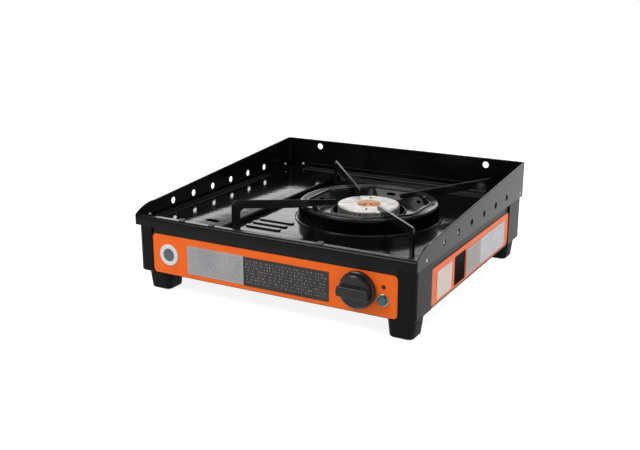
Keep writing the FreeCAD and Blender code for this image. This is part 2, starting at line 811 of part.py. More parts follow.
def wall_shell(thickness, drop):
    """Three upright walls with round back corners, cut to the side outline."""
    spare = 4 * WALL_CORNER
    outer = rounded_box((-HALF_W, HALF_W), (-HALF_D - spare, HALF_D), (SKIRT_BOTTOM, WALL_TOP_BACK),
                        WALL_CORNER)
    inner = rounded_box((-HALF_W + thickness, HALF_W - thickness),
                        (-HALF_D - 2 * spare, HALF_D - thickness),
                        (SKIRT_BOTTOM - OVERCUT, WALL_TOP_BACK + OVERCUT), WALL_CORNER - thickness)
    outline = wall_side_face(-HALF_W - OVERCUT, drop).extrude(V(TRAY_WIDTH + 2 * OVERCUT, 0, 0))
    return outer.cut(inner).common(outline)


def rivet_lines():
    """Start and end of each rivet that joins the windscreen to the tray's flange."""
    height = LEDGE_TOP + TRAY_BEND + RIVET_HEAD
    lines = []
    for side in (-1, 1):
        for y in (-HALF_D + RIVET_INSET, HALF_D - RIVET_INSET_BACK):
            lines.append((V(side * HALF_W, y, height), V(side * (HALF_W - 2 * SHEET), y, height)))
        lines.append((V(side * (HALF_W - RIVET_INSET), HALF_D, height),
                      V(side * (HALF_W - RIVET_INSET), HALF_D - 2 * SHEET, height)))
    return lines


def make_windscreen():
    """Windscreen with a folded hem, a row of holes each side and two holes in the back."""
    wall = wall_shell(SHEET, 0)
    hem = wall_shell(2 * SHEET, 0).cut(wall_shell(3 * SHEET, HEM_HEIGHT))
    over_lip = box((-HALF_W, HALF_W), (-TRAY_DEPTH, -HALF_D + LIP_WIDTH + LIP_LEAN), (0, TRAY_WIDTH))
    hem = hem.cut(over_lip)
    screen = wall.fuse(hem)
    cutters = []
    for side in (-1, 1):
        for i in range(SIDE_HOLE_COUNT):
            y = (i - (SIDE_HOLE_COUNT - 1) / 2) * SIDE_HOLE_PITCH
            cutters.append(rod(V(side * (HALF_W + OVERCUT), y, SIDE_HOLE_HEIGHT),
                               V(side * (HALF_W - SPARE), y, SIDE_HOLE_HEIGHT), SIDE_HOLE_RADIUS))
        x = side * BACK_HOLE_SPACING / 2
        z = WALL_TOP_BACK - BACK_HOLE_DROP
        cutters.append(rod(V(x, HALF_D + OVERCUT, z), V(x, HALF_D - SPARE, z), BACK_HOLE_RADIUS))
    for start, end in rivet_lines():
        reach = (start - end) * 0.5
        cutters.append(rod(start + reach, end - reach, RIVET_RADIUS + SHAFT_GAP))
    return screen.cut(cutters).removeSplitter()


def make_rivets():
    """Rivets through the windscreen and the tray's flange, domed on the inside."""
    rivets = []
    for start, end in rivet_lines():
        line = (end - start).normalize()
        shank = rod(start, end, RIVET_RADIUS)
        head = Part.makeCone(RIVET_HEAD, RIVET_TIP, RIVET_DOME, end, line)
        rivets.append(shank.fuse(head))
    return Part.makeCompound(rivets)


# Housing


def make_base_pan():
    """Bottom sheet under the burner side, with a rim, rounded corners and vent slots."""
    x = (SPLIT_X, PANEL_X - SHEET)
    y = (-PANEL_Y + SHEET, PANEL_Y - SHEET)
    outer = rounded_box((-x[1], x[1]), y, (FOOT_HEIGHT, FOOT_HEIGHT + BASE_RIM), BASE_CORNER)
    inner = rounded_box((-x[1] + SHEET, x[1] - SHEET), (y[0] + SHEET, y[1] - SHEET),
                        (BASE_TOP, FOOT_HEIGHT + BASE_RIM + OVERCUT), BASE_CORNER - SHEET)
    keep = box((x[0], HALF_W), (-HALF_D, HALF_D), (0, HOUSE_X))
    pan = outer.cut(inner).common(keep)
    cutters = []
    for row in range(BASE_VENT_ROWS):
        y_row = BURNER_Y + (row - (BASE_VENT_ROWS - 1) / 2) * (VENT_LENGTH + BASE_VENT_GAP)
        for i in range(BASE_VENT_COUNT):
            x_vent = BURNER_X + (i - (BASE_VENT_COUNT - 1) / 2) * VENT_PITCH
            near_row = abs(y_row) < BRIDGE_SPAN / 2 + BRIDGE_FOOT
            under_bridge = near_row and abs(x_vent - BURNER_X) < BRIDGE_WIDTH
            if not under_bridge:
                cutters.append(stadium("xy", FOOT_HEIGHT - OVERCUT, BASE_TOP + OVERCUT, (x_vent, y_row),
                                       VENT_LENGTH, VENT_WIDTH, 90))
    for px, py in foot_places():
        cutters.append(rod(V(px, py, 0), V(px, py, BASE_TOP + OVERCUT), FOOT_SCREW_SHANK + SCREW_GAP))
    return pan.cut(cutters)


def make_cartridge_tray():
    """Bottom sheet under the cartridge, with a round trough that hangs below the housing."""
    y = (-PANEL_Y + SHEET, PANEL_Y - SHEET)
    outer = rounded_box((-PANEL_X + SHEET, PANEL_X - SHEET), y, (FOOT_HEIGHT, FOOT_HEIGHT + BASE_RIM),
                        BASE_CORNER)
    inner = rounded_box((-PANEL_X + 2 * SHEET, PANEL_X - 2 * SHEET), (y[0] + SHEET, y[1] - SHEET),
                        (BASE_TOP, FOOT_HEIGHT + BASE_RIM + OVERCUT), BASE_CORNER - SHEET)
    keep = box((-HALF_W, SPLIT_X), (-HALF_D, HALF_D), (0, HOUSE_X))
    sheet = outer.cut(inner).common(keep)
    front = TROUGH_FRONT
    rear = TROUGH_REAR
    hollow = CAN_RADIUS + SLIDE_GAP
    below = box((-HALF_W, SPLIT_X), (front - SHEET, rear + SHEET), (0, BASE_TOP))
    shell = rod(V(CAN_X, front - SHEET, CAN_Z), V(CAN_X, rear + SHEET, CAN_Z),
                hollow + SHEET).common(below)
    space = rod(V(CAN_X, front, CAN_Z), V(CAN_X, rear, CAN_Z), hollow)
    tray = sheet.fuse(shell).cut(space)
    cutters = []
    for px, py in foot_places():
        cutters.append(rod(V(px, py, 0), V(px, py, BASE_TOP + OVERCUT), FOOT_SCREW_SHANK + SCREW_GAP))
    return tray.cut(cutters).removeSplitter()


def make_front_panel():
    """Front sheet behind the trim, flanged at the top, with holes for spindle and igniter."""
    reach = PANEL_X - SHEET - POST_CORNER
    middle = SHEET / 2
    line = -PANEL_Y + middle
    points = [
        (line, FOOT_HEIGHT),
        (line, PANEL_TOP - middle),
        (line + PANEL_FLANGE, PANEL_TOP - middle),
    ]
    panel = bent_sheet(points, TRAY_BEND, SHEET, "yz", -reach, reach)
    cutters = [
        rod(V(KNOB_X, -HALF_D, KNOB_Z), V(KNOB_X, 0, KNOB_Z), SPINDLE_RADIUS + SPINDLE_ROOM),
        rod(V(PUSH_X, -HALF_D, PUSH_Z), V(PUSH_X, 0, PUSH_Z), PUSH_RADIUS + SLIDE_GAP),
    ]
    for x in LIP_SCREW_X:
        cutters.append(rod(V(x, lip_screw_y(), BASE_TOP + SPARE), V(x, lip_screw_y(), HALF_W),
                           LIP_SCREW_SHANK + SCREW_GAP))
    return panel.cut(cutters)


def upright_panel(face, plane, reach):
    """Plain upright sheet between the base and the tray's ledge."""
    points = [(face - SHEET, FOOT_HEIGHT), (face, FOOT_HEIGHT), (face, PANEL_TOP),
              (face - SHEET, PANEL_TOP)]
    return prism(points, plane, -reach, reach)


def make_back_panel():
    """Back sheet with a row of vent slots."""
    panel = upright_panel(PANEL_Y, "yz", PANEL_X - SHEET - POST_CORNER)
    height = (FOOT_HEIGHT + PANEL_TOP) / 2
    return panel.cut(vent_row("xz", 0, HALF_D, BURNER_X, height, BACK_VENT_COUNT))


def make_left_panel():
    """Left sheet with a row of vent slots beside the cartridge."""
    panel = mirrored(upright_panel(PANEL_X, "xz", PANEL_Y - POST_CORNER), "x")
    height = (FOOT_HEIGHT + PANEL_TOP) / 2
    middle = (CAN_FRONT + CAN_REAR) / 2
    return panel.cut(vent_row("yz", -HALF_W, 0, middle, height, SIDE_VENT_COUNT))


def side_opening(low, high):
    """Cutter for the square opening in the right side."""
    return rounded_box((low, high), SIDE_OPENING_Y, SIDE_OPENING_Z, SIDE_OPENING_CORNER, "x")


def make_right_panel():
    """Right sheet with the square air opening."""
    panel = upright_panel(PANEL_X, "xz", PANEL_Y - POST_CORNER)
    return panel.cut(side_opening(PANEL_X - SPARE, PANEL_X + SPARE))


def make_post(depth):
    """Moulded corner cover, round outside, for the back right corner."""
    x = (HOUSE_X - POST_WIDTH, HOUSE_X)
    y = (HOUSE_Y - depth, HOUSE_Y)
    spare = 2 * POST_CORNER
    outer = rounded_box((x[0] - spare, x[1]), (y[0] - spare, y[1]), (FOOT_HEIGHT, PANEL_TOP), POST_CORNER)
    bottom = []
    for edge in outer.Edges:
        if edge.BoundBox.ZMax < FOOT_HEIGHT + TOUCH:
            bottom.append(edge)
    outer = outer.makeChamfer(POST_CHAMFER, bottom)
    outer = outer.common(box(x, y, (0, HALF_W)))
    inner = rounded_box((x[0] - spare, PANEL_X), (y[0] - spare, PANEL_Y), (0, HALF_W),
                        POST_CORNER - POST_WALL)
    return outer.cut(inner)


def foot_places():
    """Middle of each foot, seen from above."""
    half = FOOT_SIZE / 2
    left = -HOUSE_X + FOOT_INSET_LEFT + half
    right = HOUSE_X - FOOT_INSET_RIGHT - half
    front = -HOUSE_Y + FOOT_INSET_FRONT + half
    back = HOUSE_Y - FOOT_INSET_BACK - half
    return [(left, front), (right, front), (left, back), (right, back)]


def rounded_square(half, radius, z):
    """Square outline with round corners, as a wire of lines and arcs."""
    c = half - radius
    k = radius * math.sqrt(0.5)
    edges = []
    for turn in range(4):
        angle = turn * 90
        points = [V(half, -c, z), V(half, c, z), V(c + k, c + k, z), V(c, half, z)]
        rotation = FreeCAD.Rotation(V(0, 0, 1), angle)
        a, b, m, e = [rotation.multVec(p) for p in points]
        edges.append(Part.LineSegment(a, b).toShape())
        edges.append(Part.Arc(b, m, e).toShape())
    return Part.Wire(edges)


def make_foot(place):
    """Moulded foot that narrows downwards, with a rounded toe and a recess for its screw."""
    half = FOOT_SIZE / 2
    low = half - FOOT_TAPER
    levels = [
        rounded_square(low - FOOT_TOE_INSET, FOOT_CORNER - FOOT_TAPER - FOOT_TOE_INSET, 0),
        rounded_square(low, FOOT_CORNER - FOOT_TAPER, FOOT_TOE),
        rounded_square(half, FOOT_CORNER, FOOT_HEIGHT),
    ]
    foot = Part.makeLoft(levels, True, True)
    recess = rod(V(0, 0, -OVERCUT), V(0, 0, FOOT_SCREW_RECESS), FOOT_SCREW_HEAD + FOOT_SCREW_ROOM)
    shank = rod(V(0, 0, 0), V(0, 0, FOOT_HEIGHT + OVERCUT), FOOT_SCREW_SHANK + SCREW_GAP)
    foot = foot.cut([recess, shank])
    foot.translate(V(place[0], place[1], 0))
    return foot


def make_foot_screws():
    """Screws that hold the feet up to the bottom sheets."""
    screws = []
    for x, y in foot_places():
        points = [
            (0, FOOT_SCREW_RECESS - FOOT_SCREW_RIM - FOOT_SCREW_DOME),
            (FOOT_SCREW_HEAD, FOOT_SCREW_RECESS - FOOT_SCREW_RIM),
            (FOOT_SCREW_HEAD, FOOT_SCREW_RECESS),
            (FOOT_SCREW_SHANK, FOOT_SCREW_RECESS),
            (FOOT_SCREW_SHANK, BASE_TOP + FOOT_SCREW_REACH),
            (0, BASE_TOP + FOOT_SCREW_REACH),
        ]
        screws.append(turned(points, V(x, y, 0)))
    return Part.makeCompound(screws)


# Trim


def make_front_trim():
    """Painted front plate with holes for the knob's spindle and the igniter."""
    half = HOUSE_X - POST_WIDTH - FRONT_TRIM_GAP
    plate = rounded_box((-half, half), (-TRIM_FACE, -PANEL_Y), (BASE_TOP, FRONT_TRIM_TOP),
                        FRONT_TRIM_CORNER, "y")
    cutters = [
        rod(V(KNOB_X, -HALF_D, KNOB_Z), V(KNOB_X, 0, KNOB_Z), SPINDLE_RADIUS + 2 * SPINDLE_ROOM),
        rod(V(PUSH_X, -HALF_D, PUSH_Z), V(PUSH_X, 0, PUSH_Z), PUSH_RADIUS + SLIDE_GAP),
    ]
    return plate.cut(cutters)


def make_side_trim():
    """Painted plate on the right side, round the air opening, between the corner covers."""
    y = (-HOUSE_Y + POST_FRONT_DEPTH + FRONT_TRIM_GAP, HOUSE_Y - POST_BACK_DEPTH - FRONT_TRIM_GAP)
    plate = rounded_box((PANEL_X, SIDE_TRIM_FACE), y, SIDE_TRIM_Z, SIDE_TRIM_CORNER, "x")
    return plate.cut(side_opening(PANEL_X - SPARE, PANEL_X + SPARE))


def make_front_blank(x, z):
    """Thin plain plate stuck on the front trim."""
    return rounded_box(x, (-TRIM_FACE - BLANK_SHEET, -TRIM_FACE), z, BLANK_CORNER, "y")


def make_side_blank(y):
    """Thin plain plate stuck on the side trim."""
    return rounded_box((SIDE_TRIM_FACE, SIDE_TRIM_FACE + BLANK_SHEET), y, SIDE_BLANK_Z,
                       BLANK_CORNER, "x")


def make_badge():
    """Plain round badge: a flat middle inside a raised ring."""
    outline = [
        (0, 0),
        (BADGE_RADIUS, 0),
        (BADGE_RADIUS, BADGE_RING_HEIGHT - EDGE_BREAK),
        (BADGE_RADIUS - EDGE_BREAK, BADGE_RING_HEIGHT),
        (BADGE_CENTRE_RADIUS + EDGE_BREAK, BADGE_RING_HEIGHT),
        (BADGE_CENTRE_RADIUS, BADGE_RING_HEIGHT - EDGE_BREAK),
        (0, BADGE_RING_HEIGHT - EDGE_BREAK),
    ]
    badge = mirrored(turned(outline, V(0, 0, 0), "y"), "y")
    badge.translate(V(BADGE_X, -TRIM_FACE, BADGE_Z))
    return badge


# Burner


def burner_point(z):
    """Point on the burner's axis."""
    return V(BURNER_X, BURNER_Y, z)


def cup_profile(inset, floor, top):
    """Half outline of the cup's outside or, pulled in by the wall, of its inside."""
    rim = HEAD_RADIUS - CUP_RIM_INSET - inset
    return [
        (0, floor),
        (CUP_NECK - CUP_ROUND, floor),
        (CUP_NECK - inset, floor + CUP_ROUND),
        (CUP_NECK + CUP_DRAFT - inset, MIXER_Z + MIXER_RADIUS),
        (rim - CUP_FLARE, CUP_FLARE_Z[0]),
        (rim, CUP_FLARE_Z[1]),
        (rim, top),
        (0, top),
    ]


def make_burner_cup():
    """Cast cup with a flared wall and a mixing tube that opens to the front."""
    outside = turned(cup_profile(0, CUP_BOTTOM, HEAD_BOTTOM), burner_point(0))
    core = turned(cup_profile(CUP_WALL, CUP_BOTTOM + CUP_WALL, HEAD_BOTTOM + OVERCUT), burner_point(0))
    cup = outside.cut(core)
    mouth = BURNER_Y - MIXER_LENGTH
    bell = [
        (MIXER_RADIUS - MIXER_WALL, 0),
        (MIXER_RADIUS - MIXER_WALL, -MIXER_LENGTH + MIXER_BELL_LENGTH),
        (MIXER_BELL - MIXER_WALL, -MIXER_LENGTH),
        (MIXER_BELL, -MIXER_LENGTH),
        (MIXER_RADIUS, -MIXER_LENGTH + MIXER_BELL_LENGTH),
        (MIXER_RADIUS, 0),
    ]
    mixer = turned(bell, V(BURNER_X, BURNER_Y, MIXER_Z), "y").cut(core)
    bore = rod(V(BURNER_X, BURNER_Y, MIXER_Z), V(BURNER_X, mouth - OVERCUT, MIXER_Z),
               MIXER_RADIUS - MIXER_WALL)
    return cup.cut(bore).fuse(mixer).removeSplitter()


def make_burner_head():
    """Cast cap with flame ports round its side and four short slots in its top."""
    edge = HEAD_RADIUS
    seat = CENTRE_RADIUS + SHAFT_GAP
    outer = [
        (seat, HEAD_TOP - HEAD_PLATE),
        (edge - HEAD_WALL, HEAD_TOP - HEAD_PLATE),
        (edge - HEAD_WALL, HEAD_BOTTOM),
        (edge, HEAD_BOTTOM),
        (edge, HEAD_TOP - HEAD_ROUND),
        (edge - HEAD_ROUND * ARC_MIDDLE, HEAD_TOP - HEAD_ROUND * ARC_MIDDLE),
        (edge - HEAD_ROUND, HEAD_TOP),
        (seat, HEAD_TOP),
    ]
    head = turned(outer, burner_point(0))
    cutters = []
    for i in range(PORT_COUNT):
        angle = 360.0 * i / PORT_COUNT
        port = box((edge - HEAD_WALL - OVERCUT, edge + OVERCUT), (-PORT_WIDTH / 2, PORT_WIDTH / 2),
                   (HEAD_BOTTOM + PORT_BASE, HEAD_BOTTOM + PORT_BASE + PORT_HEIGHT))
        port.rotate(V(0, 0, 0), V(0, 0, 1), angle)
        port.translate(burner_point(0))
        cutters.append(port)
    for i in range(TOP_SLOT_COUNT):
        angle = 360.0 * i / TOP_SLOT_COUNT + TOP_SLOT_TURN
        slot = stadium("xy", HEAD_TOP - SPARE, HEAD_TOP + OVERCUT, (TOP_SLOT_RADIUS, 0), TOP_SLOT_LENGTH,
                       TOP_SLOT_WIDTH)
        slot.rotate(V(0, 0, 0), V(0, 0, 1), angle)
        slot.translate(burner_point(0))
        cutters.append(slot)
    return head.cut(cutters)


def make_burner_centre():
    """Domed brass insert with radial slots, seated in the cap."""
    outline = [
        (0, HEAD_TOP - HEAD_PLATE),
        (CENTRE_RADIUS, HEAD_TOP - HEAD_PLATE),
    ]
    outline += dome_points(CENTRE_RADIUS, HEAD_TOP, CENTRE_DOME)
    insert = turned(outline, burner_point(0))
    cutters = []
    for i in range(CENTRE_SLOTS):
        slot = box(CENTRE_SLOT_REACH, (-CENTRE_SLOT_WIDTH / 2, CENTRE_SLOT_WIDTH / 2),
                   (HEAD_TOP - CENTRE_SLOT_DEPTH, HEAD_TOP + CENTRE_DOME + OVERCUT))
        slot.rotate(V(0, 0, 0), V(0, 0, 1), 360.0 * i / CENTRE_SLOTS)
        slot.translate(burner_point(0))
        cutters.append(slot)
    return insert.cut(cutters)


def make_burner_bridge():
    """Folded strip that carries the burner cup above the bottom sheet."""
    middle = BRIDGE_SHEET / 2
    half = BRIDGE_SPAN / 2
    points = [
        (BURNER_X - half - BRIDGE_FOOT, BASE_TOP + middle),
        (BURNER_X - half, BASE_TOP + middle),
        (BURNER_X - half + BRIDGE_LEAN, CUP_BOTTOM - middle),
        (BURNER_X + half - BRIDGE_LEAN, CUP_BOTTOM - middle),
        (BURNER_X + half, BASE_TOP + middle),
        (BURNER_X + half + BRIDGE_FOOT, BASE_TOP + middle),
    ]
    return bent_sheet(points, BRIDGE_BEND, BRIDGE_SHEET, "xz", BURNER_Y - BRIDGE_WIDTH / 2,
                      BURNER_Y + BRIDGE_WIDTH / 2)


# Wind ring


def rounded_octagon(across, radius, z):
    """Eight-sided outline with round corners: eight lines and eight arcs."""
    flat = across * math.tan(math.pi / 8) - radius * math.tan(math.pi / 8)
    reach = across - radius
    corner = reach / math.cos(math.pi / 8)
    edges = []
    for i in range(8):
        rotation = FreeCAD.Rotation(V(0, 0, 1), 45.0 * i)
        middle_angle = math.pi / 8
        a = V(across, -flat, z)
        b = V(across, flat, z)
        m = V((corner + radius) * math.cos(middle_angle), (corner + radius) * math.sin(middle_angle), z)
        turn = FreeCAD.Rotation(V(0, 0, 1), 45.0)
        e = turn.multVec(V(across, -flat, z))
        a, b, m, e = [rotation.multVec(p) for p in (a, b, m, e)]
        edges.append(Part.LineSegment(a, b).toShape())
        edges.append(Part.Arc(b, m, e).toShape())
    return Part.Wire(edges)


def make_wind_ring():
    """Pressed ring that stands round the burner: round outside, eight-sided mouth, bowl inside."""
    wall = [
        (RING_FOOT, FLOOR_TOP),
        (RING_FOOT, FLOOR_TOP + SHEET),
        (RING_OUTER + SHEET, FLOOR_TOP + SHEET),
        (RING_TOP_OUTER + SHEET, RING_TOP - 2 * SHEET),
        (RING_TOP_OUTER - SHEET, RING_TOP),
        (RING_HOLE, RING_TOP),
        (RING_HOLE, RING_TOP - SHEET),
        (RING_TOP_OUTER - RING_BEVEL, RING_TOP - SHEET),
        (RING_TOP_OUTER, RING_TOP - SHEET - RING_BEVEL),
        (RING_OUTER, FLOOR_TOP),
    ]
    ring = turned(wall, V(0, 0, 0))
    mouth = Part.Face(rounded_octagon(RING_MOUTH - SHEET, RING_MOUTH_CORNER, RING_TOP - 3 * SHEET))
    ring = ring.cut(mouth.extrude(V(0, 0, 5 * SHEET)))
    bowl_corner = RING_BOWL_CORNER
    outer = Part.makeLoft([rounded_octagon(RING_BOWL, bowl_corner, RING_BOWL_TOP - SHEET),
                           rounded_octagon(RING_MOUTH, RING_MOUTH_CORNER, RING_TOP)], True, True)
    inner = Part.makeLoft([rounded_octagon(RING_BOWL - SHEET, bowl_corner - SHEET, RING_BOWL_TOP - SHEET),
                           rounded_octagon(RING_MOUTH - SHEET, RING_MOUTH_CORNER - SHEET,
                                           RING_TOP)], True, True)
    floor = rod(V(0, 0, RING_BOWL_TOP - SHEET), V(0, 0, RING_BOWL_TOP), RING_BOWL - SHEET / 2)
    lip = rod(V(0, 0, RING_BOWL_TOP - SHEET), V(0, 0, RING_BOWL_TOP + RING_LIP), RING_HOLE + SHEET)
    hole = rod(V(0, 0, RING_BOWL_TOP - SPARE), V(0, 0, RING_TOP + SPARE), RING_HOLE)
    ring = ring.fuse([outer.cut(inner), floor, lip]).cut(hole)
    cutters = []
    slot_height = (RING_BOWL_TOP + RING_TOP) / 2
    for i in range(8):
        slot = stadium("yz", RING_BOWL - SPARE, RING_MOUTH + SPARE, (0, slot_height), RING_SLOT_LENGTH,
                       RING_SLOT_WIDTH)
        slot.rotate(V(0, 0, 0), V(0, 0, 1), 45.0 * i)
        cutters.append(slot)
    ring = ring.cut(cutters).removeSplitter()
    ring.translate(burner_point(0))
    return ring


# Pan support


def make_arm(corner):
    """Strip on edge that rises outwards, with a leg whose tab drops into the tray's slot."""
    reach = arm_reach()
    half = ARM_LEG_WIDTH / 2
    tab = ARM_TAB_WIDTH / 2
    rest = RING_TOP
    outer = reach + half
    inner_leg = reach - half
    points = [
        (ARM_INNER, rest),
        (ARM_INNER, ARM_TOP_INNER - ARM_TIP),
        (ARM_INNER + ARM_TIP, ARM_TOP_INNER),
        (outer - ARM_CORNER, ARM_TOP_OUTER),
        (outer - ARM_CORNER * ARC_MIDDLE, ARM_TOP_OUTER - ARM_CORNER * ARC_MIDDLE),
        (outer, ARM_TOP_OUTER - ARM_CORNER),
        (outer, FLOOR_TOP),
        (reach + tab, FLOOR_TOP),
        (reach + tab, FLOOR_TOP - ARM_TAB_DEPTH),
        (reach - tab, FLOOR_TOP - ARM_TAB_DEPTH),
        (reach - tab, FLOOR_TOP),
        (inner_leg, FLOOR_TOP),
        (inner_leg, ARM_TOP_OUTER - ARM_NECK - ARM_GUSSET),
        (inner_leg - ARM_GUSSET, ARM_TOP_OUTER - ARM_NECK - ARM_NECK_DROP),
        (RING_FOOT + ARM_BELLY, rest),
    ]
    arm = prism(points, "xz", -ARM_SHEET / 2, ARM_SHEET / 2)
    return turn_to_arm(arm, corner)


# Cartridge


def can_point(y):
    """Point on the cartridge's axis."""
    return V(CAN_X, y, CAN_Z)


def make_cartridge():
    """Hollow steel gas cartridge with a rolled rim at each end."""
    front = CAN_FRONT - CAN_SHOULDER
    body = CAN_RADIUS - CAN_BODY_INSET
    seam = CAN_RADIUS - CAN_SEAM_INSET
    neck = CAN_RADIUS - CAN_NECK_INSET
    nose = CAN_RADIUS - CAN_NOSE_INSET
    points = [
        (0, front),
        (COLLAR_RADIUS - CAN_WALL, front),
        (nose, front + CAN_NOSE_RISE),
        (neck, CAN_FRONT - CAN_NECK_LENGTH),
        (seam, CAN_FRONT - CAN_SEAM_LENGTH),
        (seam, CAN_FRONT),
        (body, CAN_FRONT + CAN_RIM_ROUND),
        (body, CAN_REAR - CAN_RIM_LENGTH - CAN_RIM_ROUND),
        (CAN_RADIUS, CAN_REAR - CAN_RIM_LENGTH),
        (CAN_RADIUS, CAN_REAR - CAN_RIM_ROUND),
        (body, CAN_REAR),
        (CAN_RADIUS - CAN_RIM_WIDTH + CAN_RIM_ROUND, CAN_REAR - CAN_RIM_ROUND),
        (CAN_RADIUS - CAN_RIM_WIDTH, CAN_REAR - CAN_RIM_LENGTH),
        (CAN_DISH_RADIUS, CAN_REAR - CAN_DISH + 2 * CAN_WALL),
        (0, CAN_REAR - CAN_DISH),
    ]
    hollow = [
        (0, front + CAN_WALL),
        (COLLAR_RADIUS - 2 * CAN_WALL, front + CAN_WALL),
        (nose - CAN_WALL, front + CAN_NOSE_RISE + CAN_WALL),
        (neck - CAN_WALL, CAN_FRONT - CAN_NECK_LENGTH),
        (body - CAN_WALL, CAN_FRONT),
        (body - CAN_WALL, CAN_REAR - 2 * CAN_RIM_LENGTH),
        (CAN_DISH_RADIUS, CAN_REAR - CAN_DISH),
        (0, CAN_REAR - CAN_DISH - CAN_WALL),
    ]
    shell = turned(points, can_point(0), "y")
    return shell.cut(turned(hollow, can_point(0), "y"))


def make_collar():
    """Steel collar on the cartridge's end with its locating notch."""
    front = COLLAR_FRONT
    back = CAN_FRONT - CAN_SHOULDER
    collar = tube(can_point(front), can_point(back), COLLAR_RADIUS, COLLAR_RADIUS - COLLAR_WALL)
    face = tube(can_point(front), can_point(front + COLLAR_WALL), COLLAR_RADIUS, MAGNET_INNER)
    notch = box((CAN_X - COLLAR_NOTCH / 2, CAN_X + COLLAR_NOTCH / 2),
                (front - OVERCUT, back - COLLAR_SEAT),
                (CAN_Z, CAN_Z + COLLAR_RADIUS + OVERCUT))
    return collar.fuse(face).cut(notch)


def make_stem():
    """Valve stem of the cartridge with its boss."""
    back = CAN_FRONT - CAN_SHOULDER
    boss = rod(can_point(back), can_point(COLLAR_FRONT + COLLAR_SEAT), STEM_BOSS)
    stem = rod(can_point(COLLAR_FRONT + COLLAR_SEAT), can_point(COLLAR_FRONT - STEM_LENGTH), STEM_RADIUS)
    return boss.fuse(stem)


def make_regulator():
    """Cast regulator body with a magnet seat, a stem bore and a side outlet."""
    face = REGULATOR_FACE
    neck = face - REGULATOR_LENGTH
    end = neck - REGULATOR_NECK_LENGTH
    body = rod(can_point(face), can_point(neck), REGULATOR_RADIUS)
    body = body.fuse(rod(can_point(neck), can_point(end), REGULATOR_NECK))
    outlet = rod(V(CAN_X, outlet_line(), CAN_Z), V(CAN_X + OUTLET_REACH, outlet_line(), CAN_Z),
                 OUTLET_RADIUS)
    body = body.fuse(outlet)
    seat = tube(can_point(face + OVERCUT), can_point(face - MAGNET_THICKNESS),
                REGULATOR_RADIUS - MAGNET_WALL,
                MAGNET_INNER)
    bore = rod(can_point(face + OVERCUT), can_point(COLLAR_FRONT - STEM_LENGTH - STEM_ROOM),
               STEM_RADIUS + SLIDE_GAP)
    return body.cut([seat, bore]).removeSplitter()


def make_magnet():
    """Ring magnet in the regulator's face that holds the cartridge's collar."""
    face = REGULATOR_FACE - MAGNET_SINK
    return tube(can_point(face), can_point(REGULATOR_FACE - MAGNET_THICKNESS),
                REGULATOR_RADIUS - MAGNET_WALL - SHAFT_GAP,
                MAGNET_INNER + SHAFT_GAP)


def make_regulator_bracket():
    """Angle bracket that holds the regulator's neck above the bottom sheet."""
    y = REGULATOR_FACE - REGULATOR_LENGTH
    middle = BRIDGE_SHEET / 2
    points = [
        (y - BRACKET_FOOT, BASE_TOP + middle),
        (y - middle, BASE_TOP + middle),
        (y - middle, CAN_Z + REGULATOR_NECK + BRACKET_RISE),
    ]
    bracket = bent_sheet(points, BRACKET_BEND, BRIDGE_SHEET, "yz", CAN_X - BRACKET_HALF,
                         CAN_X + BRACKET_HALF)
    hole = rod(V(CAN_X, y + SPARE, CAN_Z), V(CAN_X, y - SPARE, CAN_Z), REGULATOR_NECK + SHAFT_GAP)
    return bracket.cut(hole)


def outlet_line():
    """Depth of the regulator's outlet, where the first gas tube starts."""
    return REGULATOR_FACE - OUTLET_SETBACK


def make_heat_shield():
    """Upright sheet between the cartridge and the burner, vented, with a hole for the gas tube."""
    middle = SHEET / 2
    points = [
        (SHIELD_X + SHIELD_FOOT, BASE_TOP + middle),
        (SHIELD_X, BASE_TOP + middle),
        (SHIELD_X, FLOOR_BOTTOM - SLIDE_GAP),
    ]
    reach = PANEL_Y - SHEET - PANEL_FLANGE - SHIELD_MARGIN
    shield = bent_sheet(points, TRAY_BEND, SHEET, "xz", -reach, reach)
    cutters = vent_row("yz", SHIELD_X - SPARE, SHIELD_X + SPARE, (CAN_FRONT + CAN_REAR) / 2,
                       (BASE_TOP + FLOOR_TOP) / 2,
                       SHIELD_VENT_COUNT)
    cutters.append(rod(V(SHIELD_X - SPARE, outlet_line(), CAN_Z),
                       V(SHIELD_X + SPARE, outlet_line(), CAN_Z),
                       TUBE_RADIUS + TUBE_ROOM))
    return shield.cut(cutters)


# Lid


